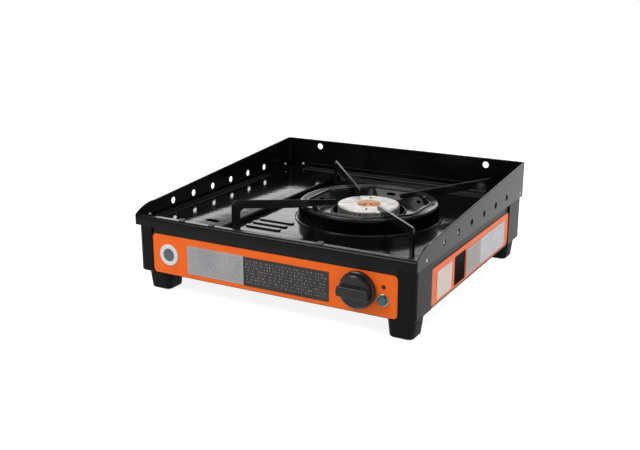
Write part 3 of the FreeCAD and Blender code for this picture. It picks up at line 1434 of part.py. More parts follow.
def make_lid():
    """Crowned lid with a skirt on three sides, rolled knuckles and a pressed finger recess."""
    mid_x = (LID_HINGE_X + LID_FREE_X) / 2
    knuckle_top = LID_EDGE_TOP
    skirt = FLOOR_TOP + SLIDE_GAP
    bend_x = LID_FREE_X - LID_FREE_BEND

    def lid_outline(inset, low, left, level):
        """Cross-section under the crowned top, pulled in by the sheet's thickness."""
        def at(x, z):
            return on_plane("xz", level, x, z)
        top = knuckle_top - inset
        start = at(left, top)
        crest = at(mid_x, top + LID_CROWN)
        edge = at(bend_x, top)
        k = math.sqrt(0.5)
        radius = LID_FREE_BEND - inset
        corner = at(bend_x + radius * k, top - radius + radius * k)
        side = at(LID_FREE_X - inset, top - radius)
        edges = [
            Part.Arc(start, crest, edge).toShape(),
            Part.Arc(edge, corner, side).toShape(),
            Part.LineSegment(side, at(LID_FREE_X - inset, low)).toShape(),
            Part.LineSegment(at(LID_FREE_X - inset, low), at(left, low)).toShape(),
            Part.LineSegment(at(left, low), start).toShape(),
        ]
        return Part.Face(Part.Wire(edges))

    outer = lid_outline(0, skirt, LID_HINGE_X, LID_FRONT).extrude(V(0, LID_REAR - LID_FRONT, 0))
    inner = lid_outline(SHEET, skirt - SPARE, LID_HINGE_X, LID_FRONT + SHEET)
    inner = inner.extrude(V(0, LID_REAR - LID_FRONT - 2 * SHEET, 0))
    top_only = box((LID_HINGE_X - OVERCUT, LID_HINGE_X + LID_SKIRT_START),
                   (LID_FRONT - OVERCUT, LID_REAR + OVERCUT),
                   (0, LID_EDGE_TOP - SHEET))
    sheet = outer.cut(inner).cut(top_only)
    finger = (FINGER_X, FINGER_Y)
    floor = LID_EDGE_TOP - FINGER_DEPTH
    pocket = stadium("xy", floor, LID_EDGE_TOP + SPARE, finger, FINGER_LENGTH, FINGER_WIDTH)
    dish = stadium("xy", floor + SHEET, LID_EDGE_TOP + SPARE + OVERCUT, finger, FINGER_LENGTH - 2 * SHEET,
                   FINGER_WIDTH - 2 * SHEET)
    lid = sheet.fuse(pocket.common(outer)).cut(dish)
    knuckles = []
    bores = []
    for y in HINGE_Y:
        for side in (-1, 1):
            end = y + side * KNUCKLE_LENGTH / 2
            far = y + side * (KNUCKLE_LENGTH / 2 + EAR_SHEET + PIN_HEAD_LENGTH + 3 * SLIDE_GAP)
            lid = lid.cut(box((LID_HINGE_X - OVERCUT, LID_HINGE_X + KNUCKLE_RADIUS + OVERCUT),
                              (min(end, far), max(end, far)),
                              (FLOOR_TOP, LID_EDGE_TOP + SPARE)))
        start = V(LID_HINGE_X, y - KNUCKLE_LENGTH / 2, HINGE_Z)
        end = V(LID_HINGE_X, y + KNUCKLE_LENGTH / 2, HINGE_Z)
        knuckles.append(rod(start, end, KNUCKLE_RADIUS))
        bores.append(rod(start - V(0, 1, 0), end + V(0, 1, 0), HINGE_BORE))
    return lid.fuse(knuckles).cut(bores).removeSplitter()


def make_hinge_bracket(y):
    """Two ears on the tray's floor, one at each end of a knuckle, each with its own foot."""
    near = LID_HINGE_X - EAR_WIDTH / 2
    far = LID_HINGE_X + KNUCKLE_RADIUS - EAR_INSET
    half = KNUCKLE_LENGTH / 2 + SLIDE_GAP
    ears = []
    for side in (-1, 1):
        inner = y + side * half
        outer = inner + side * EAR_SHEET
        toe = inner + side * EAR_FOOT
        low, high = min(inner, outer), max(inner, outer)
        ear = box((near, far), (low, high), (FLOOR_TOP, HINGE_Z))
        head = rod(V(LID_HINGE_X, low, HINGE_Z), V(LID_HINGE_X, high, HINGE_Z),
                   KNUCKLE_RADIUS - EAR_INSET)
        foot = box((near, far), (min(inner, toe), max(inner, toe)),
                   (FLOOR_TOP, FLOOR_TOP + EAR_FOOT_SHEET))
        ears.append(ear.fuse([head, foot]))
    bore = rod(V(LID_HINGE_X, y - KNUCKLE_LENGTH, HINGE_Z), V(LID_HINGE_X, y + KNUCKLE_LENGTH, HINGE_Z),
               HINGE_PIN_RADIUS + SHAFT_GAP / 2)
    return [ear.cut(bore) for ear in ears]


def make_hinge_pins():
    """Pins through the brackets' ears and the lid's knuckles, headed at one end."""
    pins = []
    for y in HINGE_Y:
        half = KNUCKLE_LENGTH / 2 + SLIDE_GAP + EAR_SHEET
        start = V(LID_HINGE_X, y - half, HINGE_Z)
        end = V(LID_HINGE_X, y + half + PIN_HEAD_LENGTH, HINGE_Z)
        pin = rod(start, end, HINGE_PIN_RADIUS)
        head = rod(start, start - V(0, PIN_HEAD_LENGTH, 0), PIN_HEAD_RADIUS)
        pins.append(pin.fuse(head))
    return Part.makeCompound(pins)


# Valve, knob and tubes


def make_valve():
    """Brass valve behind the front panel, flanged, with an inlet boss on its left."""
    face = -PANEL_Y + SHEET
    back = face + VALVE_LENGTH
    body = rod(V(KNOB_X, face + VALVE_FLANGE_SHEET, KNOB_Z), V(KNOB_X, back, KNOB_Z), VALVE_RADIUS)
    flange = rod(V(KNOB_X, face, KNOB_Z), V(KNOB_X, face + VALVE_FLANGE_SHEET, KNOB_Z), VALVE_FLANGE)
    inlet = rod(V(KNOB_X, TUBE_FRONT, CAN_Z), V(KNOB_X - VALVE_FLANGE, TUBE_FRONT, CAN_Z),
                TUBE_RADIUS + VALVE_BOSS_WALL)
    bore_end = -TRIM_FACE + SPINDLE_DEPTH + SLIDE_GAP
    bore = rod(V(KNOB_X, face - OVERCUT, KNOB_Z), V(KNOB_X, bore_end, KNOB_Z), SPINDLE_RADIUS + SHAFT_GAP)
    return body.fuse([flange, inlet]).cut(bore).removeSplitter()


def make_spindle():
    """Steel spindle from the valve to the knob, with a flat on its outer end."""
    inner = -TRIM_FACE + SPINDLE_DEPTH
    outer = KNOB_BACK - KNOB_SHOULDER
    spindle = rod(V(KNOB_X, inner, KNOB_Z), V(KNOB_X, outer, KNOB_Z), SPINDLE_RADIUS)
    flat = box((KNOB_X - SPARE, KNOB_X + SPARE), (outer - OVERCUT, KNOB_BACK + KNOB_KEY_START),
               (KNOB_Z + SPINDLE_RADIUS - SPINDLE_FLAT, KNOB_Z + SPINDLE_RADIUS + OVERCUT))
    return spindle.cut(flat)


def make_knob():
    """Fluted round knob with a raised grip bar across its face and a socket for the spindle."""
    length = KNOB_LENGTH
    outline = [
        (0, 0),
        (KNOB_RADIUS - KNOB_EDGE, 0),
        (KNOB_RADIUS, KNOB_EDGE),
        (KNOB_RADIUS, KNOB_SKIRT - KNOB_EDGE),
        (KNOB_RADIUS - KNOB_EDGE, KNOB_SKIRT),
        (KNOB_FRONT_RADIUS, KNOB_SKIRT + KNOB_STEP),
        (KNOB_FRONT_RADIUS - KNOB_EDGE, KNOB_SHOULDER),
        (KNOB_FRONT_RADIUS - KNOB_FACE_INSET, KNOB_FACE),
        (0, KNOB_FACE),
    ]
    knob = turned(outline, V(0, 0, 0))
    grip = rounded_box((-KNOB_FRONT_RADIUS, KNOB_FRONT_RADIUS),
                       (-KNOB_GRIP_WIDTH / 2, KNOB_GRIP_WIDTH / 2),
                       (KNOB_SKIRT, length), KNOB_GRIP_CORNER)
    top_edges = [e for e in grip.Edges if e.BoundBox.ZMin > length - TOUCH]
    grip = grip.makeFillet(KNOB_GRIP_ROUND, top_edges)
    grip = grip.common(rod(V(0, 0, 0), V(0, 0, length + OVERCUT), KNOB_FRONT_RADIUS - KNOB_STEP))
    knob = knob.fuse(grip)
    cutters = []
    for i in range(KNOB_FLUTES):
        angle = 2 * math.pi * (i + 0.5) / KNOB_FLUTES
        away = KNOB_FRONT_RADIUS + KNOB_FLUTE_OFFSET
        place = V(away * math.cos(angle), away * math.sin(angle), KNOB_SKIRT + EDGE_BREAK)
        cutters.append(rod(place, place + V(0, 0, length), KNOB_FLUTE_RADIUS))
    socket = rod(V(0, 0, -OVERCUT), V(0, 0, KNOB_SHOULDER), SPINDLE_RADIUS + SHAFT_GAP / 2)
    knob = knob.cut(cutters).cut(socket)
    key = box((-SPINDLE_RADIUS, SPINDLE_RADIUS), (SPINDLE_RADIUS - SPINDLE_FLAT + SHAFT_GAP / 2,
                                                  SPINDLE_RADIUS + KNOB_KEY_START),
              (KNOB_KEY_START, KNOB_SHOULDER))
    knob = knob.fuse(key)
    knob.rotate(V(0, 0, 0), V(1, 0, 0), 90)
    knob.translate(V(KNOB_X, KNOB_BACK, KNOB_Z))
    return knob.removeSplitter()


def make_inlet_tube():
    """Copper tube from the regulator, through the heat shield, to the valve."""
    start = V(CAN_X + OUTLET_REACH, outlet_line(), CAN_Z)
    corner = SHIELD_X + INLET_RUN
    points = [
        start,
        V(corner, outlet_line(), CAN_Z),
        V(corner, TUBE_FRONT, CAN_Z),
        V(KNOB_X - VALVE_FLANGE, TUBE_FRONT, CAN_Z),
    ]
    bend = min(TUBE_BEND, (outlet_line() - TUBE_FRONT) / 2 - TOUCH)
    return pipe(points, bend, TUBE_RADIUS)


def jet_face():
    """Depth of the jet's tip, just short of the mixing tube's mouth."""
    return BURNER_Y - MIXER_LENGTH - JET_GAP


def make_jet_tube():
    """Copper tube from the back of the valve to the jet block."""
    back = -PANEL_Y + SHEET + VALVE_LENGTH
    level = jet_face() - JET_BLOCK / 2 - JET_NOZZLE
    points = [
        V(KNOB_X, back, KNOB_Z),
        V(KNOB_X, level, KNOB_Z),
        V(BURNER_X + JET_BLOCK / 2, level, KNOB_Z),
    ]
    return pipe(points, JET_TUBE_BEND, TUBE_RADIUS)


def make_jet():
    """Brass block with the gas jet that points into the mixing tube."""
    tip = jet_face()
    face = tip - JET_NOZZLE
    block = box((BURNER_X - JET_BLOCK / 2, BURNER_X + JET_BLOCK / 2), (face - JET_BLOCK, face),
                (MIXER_Z - JET_BLOCK_HEIGHT / 2, MIXER_Z + JET_BLOCK_HEIGHT / 2))
    nozzle = Part.makeCone(JET_NOZZLE_RADII[0], JET_NOZZLE_RADII[1], JET_NOZZLE,
                           V(BURNER_X, face, MIXER_Z),
                           V(0, 1, 0))
    return block.fuse(nozzle)


def make_jet_bracket():
    """Folded foot that carries the jet block on the bottom sheet."""
    face = jet_face() - JET_NOZZLE
    middle = BRIDGE_SHEET / 2
    top = MIXER_Z - JET_BLOCK_HEIGHT / 2
    points = [
        (BURNER_X - JET_BLOCK - JET_FOOT, BASE_TOP + middle),
        (BURNER_X - JET_BLOCK, BASE_TOP + middle),
        (BURNER_X - JET_BLOCK, top - middle),
        (BURNER_X + JET_BLOCK / 2, top - middle),
    ]
    return bent_sheet(points, BRACKET_BEND, BRIDGE_SHEET, "xz", face - JET_BLOCK, face)


# Igniter


def push_face():
    """Depth of the button's front face at rest."""
    return -TRIM_FACE - PUSH_PROUD


def make_push_button():
    """Igniter button: a round stem with a domed face."""
    face = [(across, PUSH_DOME - rise) for across, rise in dome_points(PUSH_RADIUS, 0, PUSH_DOME)]
    outline = face + [(0, PUSH_LENGTH), (PUSH_RADIUS, PUSH_LENGTH)]
    return turned(outline, V(PUSH_X, push_face(), PUSH_Z), "y")


def make_bezel():
    """Ring on the front trim round the igniter button."""
    inner = PUSH_RADIUS + SLIDE_GAP
    outline = [
        (inner, 0),
        (BEZEL_RADIUS, 0),
        (BEZEL_RADIUS, BEZEL_HEIGHT - EDGE_BREAK),
        (BEZEL_RADIUS - EDGE_BREAK, BEZEL_HEIGHT),
        (inner, BEZEL_HEIGHT),
    ]
    ring = mirrored(turned(outline, V(0, 0, 0), "y"), "y")
    ring.translate(V(PUSH_X, -TRIM_FACE, PUSH_Z))
    return ring


def make_piezo():
    """Piezo unit behind the front panel, bored for the button's stem."""
    face = -PANEL_Y + SHEET
    depth = push_face() + PUSH_LENGTH + PUSH_TRAVEL + OVERCUT
    body = rod(V(PUSH_X, face, PUSH_Z), V(PUSH_X, face + PIEZO_LENGTH, PUSH_Z), PIEZO_RADIUS)
    flange = rod(V(PUSH_X, face, PUSH_Z), V(PUSH_X, face + PIEZO_FLANGE_SHEET, PUSH_Z), PIEZO_FLANGE)
    bore = rod(V(PUSH_X, face - OVERCUT, PUSH_Z), V(PUSH_X, depth, PUSH_Z), PUSH_RADIUS + SLIDE_GAP)
    return body.fuse(flange).cut(bore)


def electrode_place():
    """Foot of the spark electrode, beside the burner cup."""
    angle = math.radians(-ELECTRODE_TURN)
    return V(BURNER_X + ELECTRODE_X * math.cos(angle), BURNER_Y + ELECTRODE_X * math.sin(angle), 0)


def make_insulator():
    """White ceramic sleeve beside the burner."""
    place = electrode_place()
    outline = [
        (ELECTRODE_WIRE + SHAFT_GAP, ELECTRODE_BOTTOM),
        (ELECTRODE_RADIUS, ELECTRODE_BOTTOM),
        (ELECTRODE_RADIUS, ELECTRODE_TOP - ELECTRODE_NECK),
        (ELECTRODE_RADIUS - ELECTRODE_STEP, ELECTRODE_TOP - ELECTRODE_NECK + ELECTRODE_STEP),
        (ELECTRODE_RADIUS - ELECTRODE_STEP, ELECTRODE_TOP - ELECTRODE_STEP),
        (ELECTRODE_WIRE + SHAFT_GAP, ELECTRODE_TOP),
    ]
    return turned(outline, place)


def make_spark_wire():
    """Bare wire in the sleeve, bent at the top towards the burner's ports."""
    place = electrode_place()
    return rod(V(place.x, place.y, ELECTRODE_BOTTOM),
               V(place.x, place.y, ELECTRODE_TOP + ELECTRODE_PROUD),
               ELECTRODE_WIRE)


def make_electrode_clip():
    """Strip from the burner bridge that holds the ceramic sleeve."""
    place = electrode_place()
    top = ELECTRODE_BOTTOM + CLIP_RISE
    arm = box((BURNER_X + CUP_NECK - CUP_WALL, place.x + ELECTRODE_RADIUS + CLIP_END),
              (place.y - CLIP_HALF, place.y + CLIP_HALF), (top, top + CLIP_SHEET))
    cup = rod(burner_point(top - SPARE), burner_point(top + SPARE), CUP_NECK + CUP_DRAFT + SHAFT_GAP)
    hole = rod(V(place.x, place.y, top - SPARE), V(place.x, place.y, top + SPARE),
               ELECTRODE_RADIUS + SHAFT_GAP)
    return arm.cut([cup, hole])


def make_lead():
    """Insulated ignition lead from the piezo unit to the electrode."""
    place = electrode_place()
    start = V(PUSH_X, -PANEL_Y + SHEET + PIEZO_LENGTH, PUSH_Z)
    points = [
        start,
        V(PUSH_X, start.y + LEAD_RUN, PUSH_Z),
        V(place.x + LEAD_CORNER[0], place.y + LEAD_CORNER[1], ELECTRODE_BOTTOM - LEAD_DROP),
        V(place.x, place.y, ELECTRODE_BOTTOM - LEAD_DROP),
        V(place.x, place.y, ELECTRODE_BOTTOM),
    ]
    return pipe(points, LEAD_BEND, LEAD_RADIUS)


def main():
    """Builds every piece and writes it under its node's name."""
    os.makedirs("parts", exist_ok=True)
    write("tray", make_tray())
    write("windscreen", make_windscreen())
    write("windscreen_rivets", make_rivets())
    write("lip_screws", make_lip_screws())
    write("base_pan", make_base_pan())
    write("cartridge_tray", make_cartridge_tray())
    write("front_panel", make_front_panel())
    write("back_panel", make_back_panel())
    write("left_panel", make_left_panel())
    write("right_panel", make_right_panel())
    back_post = make_post(POST_BACK_DEPTH)
    front_post = mirrored(make_post(POST_FRONT_DEPTH), "y")
    write("corner_post_back_right", back_post)
    write("corner_post_back_left", mirrored(back_post, "x"))
    write("corner_post_front_right", front_post)
    write("corner_post_front_left", mirrored(front_post, "x"))
    foot_names = ("foot_front_left", "foot_front_right", "foot_back_left", "foot_back_right")
    for name, place in zip(foot_names, foot_places()):
        write(name, make_foot(place))
    write("foot_screws", make_foot_screws())
    write("front_trim", make_front_trim())
    write("side_trim", make_side_trim())
    write("front_silver_blank", make_front_blank(SILVER_BLANK_X, SILVER_BLANK_Z))
    write("front_black_blank", make_front_blank(BLACK_BLANK_X, BLACK_BLANK_Z))
    for name, y in SIDE_BLANKS.items():
        write(name, make_side_blank(y))
    write("badge", make_badge())
    write("burner_cup", make_burner_cup())
    write("burner_head", make_burner_head())
    write("burner_centre", make_burner_centre())
    write("burner_bridge", make_burner_bridge())
    write("wind_ring", make_wind_ring())
    for corner_name, corner in arm_ends().items():
        write("support_arm_" + corner_name, make_arm(corner))
    write("cartridge", make_cartridge())
    write("cartridge_collar", make_collar())
    write("cartridge_stem", make_stem())
    write("regulator", make_regulator())
    write("regulator_magnet", make_magnet())
    write("regulator_bracket", make_regulator_bracket())
    write("heat_shield", make_heat_shield())
    write("lid", make_lid())
    brackets = [piece for y in HINGE_Y for piece in make_hinge_bracket(y)]
    write("lid_hinge_brackets", Part.makeCompound(brackets))
    write("lid_hinge_pins", make_hinge_pins())
    write("gas_valve", make_valve())
    write("valve_spindle", make_spindle())
    write("knob", make_knob())
    write("gas_inlet_tube", make_inlet_tube())
    write("jet_tube", make_jet_tube())
    write("jet", make_jet())
    write("jet_bracket", make_jet_bracket())
    write("igniter_button", make_push_button())
    write("igniter_bezel", make_bezel())
    write("piezo_unit", make_piezo())
    write("electrode_insulator", make_insulator())
    write("spark_wire", make_spark_wire())
    write("electrode_clip", make_electrode_clip())
    write("ignition_lead", make_lead())


main()
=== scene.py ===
import math

import bmesh
import bpy
import numpy as np
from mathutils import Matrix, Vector


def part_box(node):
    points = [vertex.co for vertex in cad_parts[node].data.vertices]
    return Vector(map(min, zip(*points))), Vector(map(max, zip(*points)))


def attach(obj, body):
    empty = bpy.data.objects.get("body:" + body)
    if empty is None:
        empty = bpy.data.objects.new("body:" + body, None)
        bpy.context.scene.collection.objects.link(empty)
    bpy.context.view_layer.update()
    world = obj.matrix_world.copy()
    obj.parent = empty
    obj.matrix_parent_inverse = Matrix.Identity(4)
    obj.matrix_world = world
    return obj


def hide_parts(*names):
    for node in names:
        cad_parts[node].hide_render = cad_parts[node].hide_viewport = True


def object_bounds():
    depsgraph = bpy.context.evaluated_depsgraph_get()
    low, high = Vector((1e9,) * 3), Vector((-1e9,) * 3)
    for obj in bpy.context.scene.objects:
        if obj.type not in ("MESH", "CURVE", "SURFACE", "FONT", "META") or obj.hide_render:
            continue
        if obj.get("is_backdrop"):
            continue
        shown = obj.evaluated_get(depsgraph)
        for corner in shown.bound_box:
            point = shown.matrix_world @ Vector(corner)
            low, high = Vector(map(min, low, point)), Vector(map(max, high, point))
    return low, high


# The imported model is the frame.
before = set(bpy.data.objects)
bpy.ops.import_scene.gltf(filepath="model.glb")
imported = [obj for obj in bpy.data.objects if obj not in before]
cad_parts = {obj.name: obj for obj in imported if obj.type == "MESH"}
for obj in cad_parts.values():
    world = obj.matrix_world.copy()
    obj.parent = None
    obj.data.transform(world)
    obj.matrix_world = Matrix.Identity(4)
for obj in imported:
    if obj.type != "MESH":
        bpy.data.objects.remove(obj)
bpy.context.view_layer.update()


# Studio: a plain white paper floor in a white surround that turns grey overhead. The camera, gloss
# and glass see its sides at full white, while it lights the stove at a lower, softer level. The paper
# is a matt grey that keeps the stove's shadow, with a glow that lifts it to white where it is seen.
PAPER_WHITE = "#FFFFFF"
PAPER_GREY = "#A6A6A6"
PAPER_GLOW = 0.86
PAPER_SIZE = 14.0
SURROUND_LEVEL = 0.85
OVERHEAD_LEVEL = 0.35
# The surround darkens while the upward part of a direction rises between these two values.
FADE_START = 0.3
FADE_END = 0.75


def linear(colour):
    """Linear red, green, blue and alpha of an sRGB hex colour: ((c + 0.055) / 1.055) to the power 2.4."""
    shade = np.array([int(colour[i:i + 2], 16) for i in (1, 3, 5)]) / 255
    light = np.where(shade <= 0.04045, shade / 12.92, ((shade + 0.055) / 1.055) ** 2.4)
    return (*light.tolist(), 1.0)


def add(tree, kind, inputs=None, **settings):
    """Adds one shader node. An input is a plain value, or another node's output that is linked to it."""
    made = tree.nodes.new("ShaderNode" + kind)
    for name, value in settings.items():
        setattr(made, name, value)
    for name, value in (inputs or {}).items():
        if isinstance(value, bpy.types.NodeSocket):
            tree.links.new(value, made.inputs[name])
        else:
            made.inputs[name].default_value = value
    return made


def seen_directly(tree):
    """1 for camera, glossy and transmission rays, 0 for the rays that light the stove."""
    path = add(tree, "LightPath").outputs
    two = add(tree, "Math", {0: path["Is Camera Ray"], 1: path["Is Glossy Ray"]}, operation="MAXIMUM")
    three = add(tree, "Math", {0: two.outputs[0], 1: path["Is Transmission Ray"]}, operation="MAXIMUM")
    return three.outputs[0]


surround = bpy.data.worlds.new("white_surround")
surround.use_nodes = True
air = surround.node_tree
air.nodes.clear()
bpy.context.scene.world = surround
level = add(air, "MapRange", {"Value": seen_directly(air), "To Min": SURROUND_LEVEL, "To Max": 1.0})
way_up = add(air, "SeparateXYZ", {"Vector": add(air, "TexCoord").outputs["Generated"]})
fade = add(air, "MapRange", {"Value": way_up.outputs["Z"], "From Min": FADE_START, "From Max": FADE_END,
                             "To Min": 1.0, "To Max": OVERHEAD_LEVEL})
strength = add(air, "Math", {0: level.outputs[0], 1: fade.outputs[0]}, operation="MULTIPLY")
sky = add(air, "Background", {"Color": linear(PAPER_WHITE), "Strength": strength.outputs[0]})
add(air, "OutputWorld", {"Surface": sky.outputs[0]})

half = PAPER_SIZE / 2
paper_mesh = bpy.data.meshes.new("paper_floor")
paper_mesh.from_pydata([(-half, -half, 0), (half, -half, 0), (half, half, 0), (-half, half, 0)], [],
                       [(0, 1, 2, 3)])
paper_floor = bpy.data.objects.new("paper_floor", paper_mesh)
bpy.context.collection.objects.link(paper_floor)
paper = bpy.data.materials.new("white_paper")
paper.use_nodes = True
tree = paper.node_tree
tree.nodes.clear()
matt = add(tree, "BsdfDiffuse", {"Color": linear(PAPER_GREY)})
glow = add(tree, "Emission", {"Color": linear(PAPER_WHITE), "Strength": PAPER_GLOW})
lit = add(tree, "AddShader", {0: matt.outputs[0], 1: glow.outputs[0]})
shown = add(tree, "MixShader", {0: seen_directly(tree), 1: matt.outputs[0], 2: lit.outputs[0]})
add(tree, "OutputMaterial", {"Surface": shown.outputs[0]})
paper_mesh.materials.append(paper)
paper_floor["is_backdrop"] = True


# Housing: bottom sheets, side and back sheets and the inner front sheet, pressed from 1 mm steel
# and sprayed satin black. The heat shield and the small brackets inside are bare zinc-plated steel.
mm = 0.001
HOUSING_BLACK = ("#0D0E0F", "#151617")
ZINC_GREY = ("#9EA2A6", "#B6BABD")
# A noise stays near its middle value, so its middle part is spread over the whole range.
PATCH_SPAN = (0.35, 0.65)
GRAIN_SPAN = (0.3, 0.7)


def finish_of(name, shades, rough, grain, lift, stretch=(1, 1, 1), patch=25.0, edge=0.0,
              metallic=0.0, specular=0.5, coat=0.0):
    """A material whose colour drifts between two shades over patches of a size in mm. A finer noise of
    the grain's size in mm, squeezed along each axis by a stretch, lifts the surface by some mm and moves
    the roughness between two values. An edge radius in mm softens sharp edges."""
    made = bpy.data.materials.new(name)
    made.use_nodes = True
    tree = made.node_tree
    tree.nodes.clear()
    place = add(tree, "TexCoord").outputs["Object"]
    pulled = add(tree, "Mapping", {"Vector": place, "Scale": stretch}).outputs[0]
    cloud = add(tree, "TexNoise", {"Vector": pulled, "Scale": 1 / (patch * mm), "Detail": 3.0}).outputs[0]
    spread = add(tree, "MapRange", {"Value": cloud, "From Min": PATCH_SPAN[0],
                                    "From Max": PATCH_SPAN[1]}).outputs[0]
    colour = add(tree, "MixRGB", {0: spread, 1: linear(shades[0]), 2: linear(shades[1])}).outputs[0]
    fine = add(tree, "TexNoise", {"Vector": pulled, "Scale": 1 / (grain * mm), "Detail": 2.0}).outputs[0]
    polish = add(tree, "MapRange", {"Value": fine, "From Min": GRAIN_SPAN[0], "From Max": GRAIN_SPAN[1],
                                    "To Min": rough[0], "To Max": rough[1]}).outputs[0]
    bump = add(tree, "Bump", {"Height": fine, "Distance": lift * mm, "Strength": 1.0})
    if edge:
        tree.links.new(add(tree, "Bevel", {"Radius": edge * mm}).outputs[0], bump.inputs["Normal"])
    shader = add(tree, "BsdfPrincipled", {
        "Base Color": colour, "Roughness": polish, "Normal": bump.outputs[0], "Metallic": metallic,
        "Specular IOR Level": specular, "Coat Weight": coat})
    add(tree, "OutputMaterial", {"Surface": shader.outputs[0]})
    return made


def dress(material, *nodes):
    """Gives the CAD pieces with these names one material."""
    for name in nodes:
        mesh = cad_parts[name].data
        mesh.materials.clear()
        mesh.materials.append(material)


# Satin paint: a faint spray texture of about 0.8 mm, and little gloss.
satin_paint = finish_of("satin_black_sprayed_steel", HOUSING_BLACK, rough=(0.32, 0.42), grain=0.8,
                        lift=0.004, edge=0.4, specular=0.14)
dress(satin_paint, "base_pan", "cartridge_tray", "front_panel", "back_panel", "left_panel", "right_panel")

# Zinc plating: bright grey with a small crystal grain, drawn 1.5 mm wide so that it shows.
zinc_plate = finish_of("zinc_plated_steel", ZINC_GREY, rough=(0.28, 0.42), grain=1.5, lift=0.003,
                       patch=4.0, edge=0.3, metallic=1.0)
dress(zinc_plate, "heat_shield", "regulator_bracket", "jet_bracket", "burner_bridge", "electrode_clip",
      "cartridge_collar", "lid_hinge_brackets")


# Feet: four blocks moulded in black rubber-like plastic, narrower at the toe, each held up to the
# bottom sheets by a dome-headed steel screw in a deep recess in its underside.
FOOT_TAPER = 2.5 * mm
FOOT_CORNER = 9.0 * mm
FOOT_TOE = 2.6 * mm
FOOT_TOP_EDGE = 0.8 * mm
FOOT_RECESS_RADIUS = 5.0 * mm
FOOT_RECESS_DEPTH = 7.0 * mm
FOOT_EDGE_ROWS = 9
FOOT_COLUMNS = 96
FOOT_BLACK = ("#09090A", "#101112")
SCREW_GREY = ("#4A4C4F", "#6A6D70")
# Points of a new piece that lie closer than this are one point.
JOINED = 0.002 * mm


def band_faces(rows, across):
    """Four-sided faces between neighbouring rows of a grid, whose last column joins its first."""
    index = np.arange(rows * across).reshape(rows, across)
    loop = np.hstack([index, index[:, :1]])
    return np.stack([loop[:-1, :-1], loop[:-1, 1:], loop[1:, 1:], loop[1:, :-1]], axis=-1).reshape(-1, 4)


def settle(name, points, faces, material, body, replaces, smooth=40.0, sheet=0.0):
    """Makes a piece of points and faces, turns its faces outwards, and fixes it to a moving body. A sheet
    thickness turns an open surface into a plate. Edges sharper than the smooth angle stay crisp."""
    mesh = bpy.data.meshes.new(name)
    mesh.from_pydata(points.tolist(), [], faces)
    shape = bmesh.new()
    shape.from_mesh(mesh)
    bmesh.ops.remove_doubles(shape, verts=shape.verts, dist=JOINED)
    bmesh.ops.recalc_face_normals(shape, faces=shape.faces)
    shape.to_mesh(mesh)
    shape.free()
    mesh.shade_smooth()
    mesh.set_sharp_from_angle(angle=math.radians(smooth))
    mesh.materials.append(material)
    piece = bpy.data.objects.new(name, mesh)
    bpy.context.collection.objects.link(piece)
    if sheet:
        plate = piece.modifiers.new("sheet", "SOLIDIFY")
        plate.thickness = sheet
        plate.offset = -1.0
    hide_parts(*replaces)
    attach(piece, body)


def skin(name, grid, material, body, replaces, smooth=40.0):
    """Closed piece over a grid of points: the faces between its rows, and one across each end row."""
    rows, across = grid.shape[:2]
    ends = [list(range(across))[::-1], list(range((rows - 1) * across, rows * across))]
    settle(name, grid.reshape(-1, 3), band_faces(rows, across).tolist() + ends, material, body,
           replaces, smooth)


def foot_rows(half, height):
    """Rows of a foot from its top edge down: rounded squares, pulled in by the taper and by a quarter
    round at the top edge and at the toe, then two circles that rise into the screw's recess. A point is
    its corner's centre plus the corner radius times the cosine and sine of its angle, and a circle is a
    square with nothing but corners. The angles miss the quarter turns, so the sides stay straight."""
    bend = np.linspace(0, np.pi / 2, FOOT_EDGE_ROWS)
    level = np.concatenate([height - FOOT_TOP_EDGE * (1 - np.cos(bend)), FOOT_TOE * (1 - np.sin(bend))])
    inset = np.concatenate([FOOT_TOP_EDGE * (1 - np.sin(bend)), FOOT_TOE * (1 - np.cos(bend))])
    pulled = inset + FOOT_TAPER * (1 - level / height)
    recess = [FOOT_RECESS_RADIUS, FOOT_RECESS_RADIUS]
    reach = np.concatenate([half - pulled, recess])[:, None]
    corner = np.concatenate([FOOT_CORNER - pulled, recess])[:, None]
    level = np.concatenate([level, [0.0, FOOT_RECESS_DEPTH]])[:, None]
    turn = (np.arange(FOOT_COLUMNS) + 0.5) * 2 * np.pi / FOOT_COLUMNS
    x = (reach - corner) * np.sign(np.cos(turn)) + corner * np.cos(turn)
    y = (reach - corner) * np.sign(np.sin(turn)) + corner * np.sin(turn)
    return np.stack(np.broadcast_arrays(x, y, level), axis=-1)


# Moulded rubber: nearly matt, with the fine grain of a spark-eroded mould, drawn at 0.6 mm.
foot_rubber = finish_of("moulded_black_rubber", FOOT_BLACK, rough=(0.48, 0.6), grain=0.6, lift=0.01,
                        specular=0.08)
for corner in ("front_left", "front_right", "back_left", "back_right"):
    low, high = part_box("foot_" + corner)
    middle = (low + high) / 2
    rows = foot_rows((high.x - low.x) / 2, high.z) + np.array([middle.x, middle.y, 0.0])
    skin("foot_block_" + corner, rows, foot_rubber, "stove", ("foot_" + corner,))

# Screw steel: blackened steel, a little brighter in random patches about 1.5 mm across.
screw_steel = finish_of("blackened_screw_steel", SCREW_GREY, rough=(0.3, 0.45), grain=0.5, lift=0.004,
                        patch=1.5, metallic=1.0)
dress(screw_steel, "foot_screws")


# Corner covers: four L-shaped mouldings in black ABS that hide the sheets' corners, from the bottom
# sheets up to the tray's ledge, with a large outer radius.
ABS_BLACK = ("#08090A", "#0D0E0F")
# Moulded ABS: satin, with a light grain at 0.5 mm and soft moulded edges.
moulded_abs = finish_of("moulded_black_abs", ABS_BLACK, rough=(0.26, 0.36), grain=0.5, lift=0.004,
                        edge=0.9, specular=0.08)
dress(moulded_abs, "corner_post_front_left", "corner_post_front_right", "corner_post_back_left",
      "corner_post_back_right")


